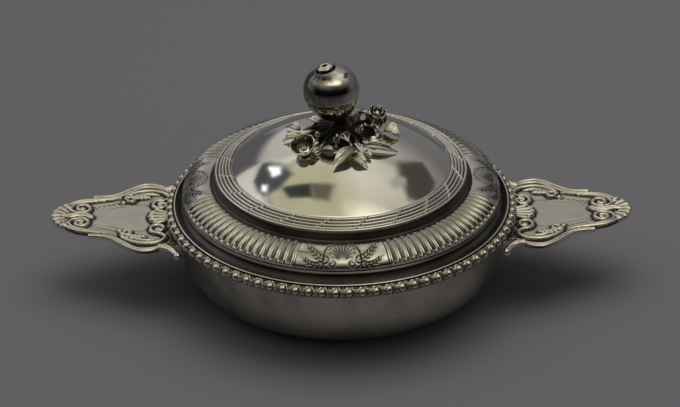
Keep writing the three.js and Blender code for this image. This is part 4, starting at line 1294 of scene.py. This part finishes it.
def add_crown():
    """Pierced disc at the top of the fruit, with painted shade under it and in its piercing."""
    line = smooth_line(CROWN_LINE, 34)
    points, faces, _ = turned_mesh(np.vstack([[0, 0], line, [0.9, 0.8], [0, 0.8]]), 60)
    height = points[:, 2]
    points[:, :2] *= (1 + 0.05 * np.cos(5 * turn_of(points)) * bump_step(height, 1.3, 2))[:, None]
    patina_and_shade = np.maximum(np.clip((1.7 - height) / 1.2, 0, 1), radius_of(points) < 1.4)
    seat = FRUIT_FOOT + FRUIT_AXIS * (CROWN_SEAT + SOLDER_GAP)
    mesh = moved((points, faces, patina_and_shade), stood_frame(FRUIT_AXIS), seat)
    add_piece("fruit_crown_disc", mesh, CAST, "cover", "fruit_crown", SHARP_CHASED)


def sheet_mesh(top, under, patina_and_shade):
    """Thin closed body between two sheets of points (rows, columns, 3)."""
    rows, columns = top.shape[:2]
    count = rows * columns
    points = np.vstack([top.reshape(-1, 3), under.reshape(-1, 3)])
    border = np.concatenate([np.arange(columns), np.arange(1, rows - 1) * columns + columns - 1,
                             count - 1 - np.arange(columns), np.arange(rows - 2, 0, -1) * columns])
    after = np.roll(border, -1)
    wall = np.stack([after, after + count, border + count, border], -1)
    faces = [grid_faces(rows, columns, False, False, flip=True),
             grid_faces(rows, columns, False, False, count), wall]
    values = np.concatenate([patina_and_shade.ravel(), np.full(count, UNDERSIDE_SHADE)])
    return points, faces, values


LEAF_ROWS = 34
LEAF_COLUMNS = 19
LEAF_T = 0.8
LOBE_LENGTH = 2.2

# name, place and lift of the base and of the tip, width, arch, cup
LEAVES = [
    ("leaf_front_left", 7.2, -19, 2.4, -4.1, -32.6, 1.1, 6.2, 2.4, 0.9),
    ("leaf_front_right", 4.8, -23.2, 1.6, 13.3, -30.2, 1, 5.6, 1.4, 0.8),
    ("leaf_long_right", 10.8, -18.2, 2.4, 28.2, -15.4, 1.5, 4.6, 0.8, 1.2),
    ("leaf_front_upright", -1.9, -16.4, 2.3, -1.7, -14.6, 6.8, 3.6, 0.3, 0.4),
    ("leaf_centre", 0.4, -10.6, 4.4, 4.2, -16.8, 3.8, 5.6, 0.6, 0.5),
    ("leaf_front_low", -3.2, -18.4, 1.2, -8.8, -17.9, 1.3, 3.4, 0.6, 0.4),
    ("leaf_upright", 5.4, -2.6, 2.9, 8.8, -1.9, 12, 4.6, -0.6, 0.5),
    ("leaf_arched", 9.4, 1.6, 5.4, 15.2, -0.2, 9.8, 3.8, 3.2, 0.6),
    ("leaf_under_flower", 16.6, 2.4, 4.6, 18.9, -2.8, 3.4, 3.6, 0.5, 0.5),
    ("leaf_lower_right", 19.7, -1.6, 1.6, 17.9, -7.4, 1.3, 3.4, 0.8, 0.6),
    ("leaf_round_right", 21.6, 0.6, 1.6, 29.8, -1.2, 1.6, 10.4, 1, 1.5),
    ("leaf_right_small", 13.9, -12, 1.5, 20.8, -9.6, 1.4, 3.8, 0.6, 0.6),
    ("leaf_standing", 8.9, -8.4, 2.7, 10.8, -6.2, 7.2, 3.6, 0.3, 0.4),
    ("leaf_back_left", -3.8, 13, 1.3, -8.5, 24, 1.1, 7, 1.4, 0.9),
    ("leaf_back_right", 6.7, 14, 1.3, 7.8, 25, 1.1, 7, 1.4, 0.9),
    ("leaf_left_inner", -10.6, 6.2, 1.3, -17.4, 12.4, 2, 5, 1.2, 0.7),
    ("leaf_left_back", -20.2, 2.3, 1.4, -27.6, 10.5, 1.3, 5.6, 1.2, 0.8),
    ("leaf_left_side", -20, -5.2, 1.5, -28.8, -4.2, 1.4, 5.2, 1, 0.9),
]


def leaf_mesh(base, tip, width, arch, cup, lobes):
    along = tip - base
    middle = (base + tip) / 2
    dome_up = [middle[0] / DOME_R, middle[1] / DOME_R, 1]
    side = unit(np.cross(dome_up, along))
    up = unit(np.cross(along, side))
    t = np.linspace(0, 1, LEAF_ROWS)[:, None]
    s = np.linspace(-1, 1, LEAF_COLUMNS)[None]
    serration = 1 + 0.035 * np.abs(np.sin(lobes * math.pi * t)) * bump_step(t, 0.05, 0.2)
    half = width / 2 * np.sin(math.pi * (0.05 + 0.94 * t)**0.8)**1.15 * serration
    reach = np.abs(s)
    fold = 1.5 * cup * (half / width) * 2 * reach**1.15
    rim = 0.3 * bump_step(reach, 0.78, 0.93) * (1 - 0.6 * bump_step(reach, 0.95, 1))
    rib = 0.5 * soft_ridge(s * half / 0.36) - 0.22 * soft_ridge((reach * half - 0.8) / 0.4)
    phase = (t * lobes - 0.35 * reach) % 1
    veins = -0.06 * soft_ridge((phase - 0.5) / 0.16) * bump_step(reach, 0.12, 0.3)
    veins *= 1 - bump_step(reach, 0.8, 0.95)
    share = np.clip(half / (0.3 * width), 0, 1)
    lift = arch * np.sin(math.pi * t) + fold + (rim + rib + veins) * share
    sway = 0.05 * width * np.sin(2.2 * math.pi * t)
    spine = base + t[..., None] * along + sway[..., None] * side
    top = spine + (s * half)[..., None] * side + lift[..., None] * up
    thin = LEAF_T * (0.35 + 0.65 * (1 - reach**3)) + 0 * t
    under = top - thin[..., None] * up
    # Patina and painted shade in the veins and beside the rib, and painted shade near the foot of the leaf
    painted_shade_near_foot = 0.8 * (1 - bump_step(t, 0.02, 0.3))
    patina_and_shade = np.maximum(0.8 * np.clip(-veins * 4 + np.clip(-rib * 3, 0, 1), 0, 1), painted_shade_near_foot)
    return sheet_mesh(top, under, patina_and_shade)


def add_leaves():
    for name, x0, y0, lift0, x1, y1, lift1, width, arch, cup in LEAVES:
        base, tip = on_dome(x0, y0, lift0), on_dome(x1, y1, lift1)
        lobes = max(3, round(math.dist(tip, base) / LOBE_LENGTH))
        mesh = leaf_mesh(base, tip, width, arch, cup, lobes)
        add_piece(f"chased_{name}", mesh, CAST, "cover", name, SHARP_LEAF)


PETAL_ROWS = 14
PETAL_COLUMNS = 13
STAMEN_TURN = 2.4


def petal_mesh(turn, spread, profile, thickness, ripple, cup):
    """One petal: profile is a line of radius and height from the heart of the flower to its rim."""
    line = smooth_line(profile, PETAL_ROWS)
    v = np.linspace(0, 1, PETAL_ROWS)[:, None]
    u = np.linspace(-1, 1, PETAL_COLUMNS)[None]
    width = spread * (0.35 + 0.65 * np.sin(math.pi * np.clip(0.15 + 0.62 * v, 0, 1)))
    angle = turn + width * u
    r = line[:, :1] * (1 - 0.16 * u**4 * v)
    z = line[:, 1:] * (1 - 0.1 * u**2 * v) + ripple * np.sin(3.5 * u + turn * 3) * v**2 + cup * u**2 * v
    top = turned_points(np.stack([r, z], -1), angle)
    outward = np.repeat(thickness * section_normals(line)[:, None], PETAL_COLUMNS, 1)
    # Painted shade toward the heart of the flower
    patina_and_shade = 0.9 * (1 - bump_step(v, 0.62, 0.92)) + 0 * u
    return sheet_mesh(top, top + turned_points(outward, angle), patina_and_shade)


def petals(count, start, spread, profile, thickness, ripple, cup):
    return [petal_mesh(turn + start, spread, profile, thickness, ripple, cup) for turn in circle(count)]


def stamens(count, radius, height, size):
    """Small balls in a spiral on a low round heart."""
    balls = []
    for i in range(count):
        turn = i * STAMEN_TURN
        share = math.sqrt((i + 0.5) / count)
        x, y = radius * share * math.cos(turn), radius * share * math.sin(turn)
        balls.append(ball_mesh([x, y, height * (1 - 0.4 * share**2)], size, 7, 8))
    return merged(balls)


def add_flower(name, node, parts, stand, patina=0):
    """Stand is the way the flower faces and its place on the dome. The last value darkens it evenly, as
    patina and painted shade.
    """
    facing, seat = stand
    points, faces, values = merged(parts)
    mesh = moved((points, faces, values + patina), stood_frame(facing), on_dome(*seat))
    add_piece(name, mesh, CAST, "cover", node)


def add_flowers():
    """An open flower at the left, and at the right a rosette of hanging, standing and short petals."""
    left = ((-0.2, -0.45, 0.87), (-17.8, -16.6, 1.3))
    cup = [[0.6, 0.5], [2.6, 0.3], [4.5, 1.4], [5.5, 3.4], [5.9, 5.3]]
    disc = turned_mesh([[0, 0], [2.2, 0], [3, 0.6], [2.2, 1.2], [0, 1.2]], 20)
    ring = petals(5, 0.5, 0.86, cup, 0.45, 0.25, -0.15)
    add_flower("open_flower_left", "flower_left", [*ring, disc], left)
    heart = [ball_mesh([0, 0, 1.3], 1.7, 9, 16, (1, 1, 0.6)), stamens(7, 1.6, 2.4, 0.5)]
    add_flower("flower_left_heart", "flower_left_centre", heart, left, 0.3)
    right = ((0.2, -0.35, 0.92), (17.8, 5.6, 5.6))
    hanging = [[1.2, 1.6], [3.2, 2.2], [5.0, 1.6], [5.6, -0.6], [5.2, -2.4]]
    standing = [[0.6, 1.4], [2.4, 2.0], [3.8, 3.4], [4.0, 4.8]]
    rings = petals(5, 0, 0.55, hanging, 0.5, 0.2, -0.3) + petals(6, 0.3, 0.5, standing, 0.5, 0.25, 0)
    disc = turned_mesh([[0, 0], [2, 0], [2.6, 1.4], [2, 2.2], [0, 2.2]], 20)
    add_flower("rosette_flower_right", "flower_right", [*rings, disc], right)
    short = [[0.4, 2.2], [1.4, 2.8], [2.2, 4.0], [2.2, 5.2]]
    heart = petals(5, 0.1, 0.55, short, 0.45, 0.2, 0)
    heart += [stamens(7, 1.2, 4.4, 0.45), ball_mesh([0, 0, 2.8], 1.8)]
    add_flower("rosette_heart", "flower_right_centre", heart, right)


BUD_LINE = np.array([[0, 0], [0.7, 0.1], [1, 0.4], [0.6, 0.8], [0, 1]])

# name, place and lift, the way the bud faces, radius, length
BUDS = [
    ("bud_front", -11.1, -19.7, 1.6, (-0.4, -0.85, 0.1), 1.6, 4),
    ("bud_right", 12.2, -20.2, 1.7, (0.6, -0.75, -0.1), 1.7, 5.4),
    ("bud_left", -10.8, -9.9, 2.9, (-0.3, -0.2, 0.9), 1.5, 3.4),
]


def add_buds():
    for name, x, y, lift, facing, radius, length in BUDS:
        points, faces, _ = turned_mesh(smooth_line(BUD_LINE * [radius, length], 22), 30)
        furrow = np.abs(np.sin(2.5 * turn_of(points)))
        points[:, :2] *= (0.82 + 0.2 * furrow**0.5)[:, None]
        # Patina and painted shade in the folds
        patina_and_shade = np.clip(0.8 - 2 * furrow, 0, 1)
        mesh = moved((points, faces, patina_and_shade), stood_frame(facing), on_dome(x, y, lift))
        add_piece(f"folded_{name}", mesh, CAST, "cover", name, SHARP_LEAF)


# Where the twigs end: place and lift
TWIG_ENDS = [
    (-14.2, -13, 1.5), (-10.4, -17.4, 1.2), (-2.2, -17, 1.1), (5.4, -17.8, 2), (9.6, -17, 2.1),
    (12.6, -11.4, 1.4), (19.4, 1.6, 1.6), (16.6, 5.8, 4.2), (6.2, 12.6, 1.3), (-3.4, 11.5, 1.3),
    (-9.6, 5.2, 1.3), (-18.8, 1.6, 1.4), (-18.6, -4.6, 1.5),
]
TWIG_R = 0.85
TWIG_START_R = 5.4
TWIG_ROWS = 16
MOUND_R = 15.2
MOUND_COLUMNS = 96


def twig_mesh(x, y, lift):
    start = TWIG_START_R / math.hypot(x, y)
    a = on_dome(start * x, start * y, 1.6)
    b = on_dome(0.6 * x, 0.6 * y, 1.5 + 0.4 * lift)
    c = on_dome(x, y, lift)
    t = np.linspace(0, 1, TWIG_ROWS)
    share = t[:, None]
    line = (1 - share)**2 * a + 2 * share * (1 - share) * b + share**2 * c
    knots = 1 + 0.14 * np.sin(t * 17 + x) * np.sin(t * 7 + y)
    return tube_mesh(line, TWIG_R * knots * np.linspace(1.15, 0.8, TWIG_ROWS), 10)


def shade_mound_mesh():
    """Low heap that the spray grows from, painted fully dark as the shade beneath the fruit."""
    turn = circle(MOUND_COLUMNS)
    share = np.array([0.3, 0.985, 1.0, 0.97, 0.88, 0.72, 0.52, 0.3])[:, None]
    lift = np.array([0.06, 0.06, 0.35, 0.9, 1.4, 1.8, 2.0, 2.1])[:, None]
    r = share * MOUND_R * (1 + 0.10 * np.cos(5 * turn + 0.6) + 0.07 * np.cos(9 * turn))
    z = dome_height(r) + lift + 0.25 * np.sin(11 * turn + 7 * share) * (lift > 0.5)
    points = turned_points(np.stack([r, z], -1), turn).reshape(-1, 3)
    ring = np.arange(MOUND_COLUMNS)[None]
    top = len(points) - MOUND_COLUMNS
    faces = [grid_faces(len(share), MOUND_COLUMNS, False, True), ring[:, ::-1], ring + top]
    return points, faces, np.ones(len(points))


def knot_mesh():
    """The low crown that the fruit stands in."""
    foot, top = DOME_TOP + SOLDER_GAP, FRUIT_FOOT[2] - SOLDER_GAP
    line = smooth_line([[8, DOME_TOP - 0.3], [7.6, DOME_TOP + 1.0], [6.0, DOME_TOP + 2.1],
                        [3.5, DOME_TOP + 3.1], [2.8, DOME_TOP + 4.4], [2.8, top]], 30)
    points, faces, _ = turned_mesh(np.vstack([[0, foot], [4, foot - 0.08], line, [0, top]]), 48)
    furrow = np.cos(7 * turn_of(points))
    points[:, :2] *= (1 + 0.07 * furrow)[:, None]
    # Patina and painted shade in the furrows of the knot
    return points, faces, 0.25 * (1 - furrow)


def add_knot():
    points, faces, values = merged([knot_mesh(), *(twig_mesh(*end) for end in TWIG_ENDS), shade_mound_mesh()])
    # Painted shade over everything near the foot of the fruit
    values = np.maximum(values, 1 - bump_step(radius_of(points), 14, 21))
    mesh = points, faces, values
    add_piece("twigs_and_knot", mesh, SHADED, "cover", "finial_leaf_knot")


# The solids that keep their shape: the fastening inside the cover


def dress_fastening():
    for node in ("finial_stud", "finial_washer", "finial_nut"):
        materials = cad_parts[node].data.materials
        materials.clear()
        materials.append(DRAWN)


set_view()
add_camera()
add_world()
add_lamps()
add_cards()
add_stage()
add_bowl()
add_handles()
add_flange()
add_shoulder()
add_dome()
add_ovolo_border()
add_wires()
add_reeds()
add_bezel()
add_fruit()
add_crown()
add_leaves()
add_flowers()
add_buds()
add_knot()
dress_fastening()
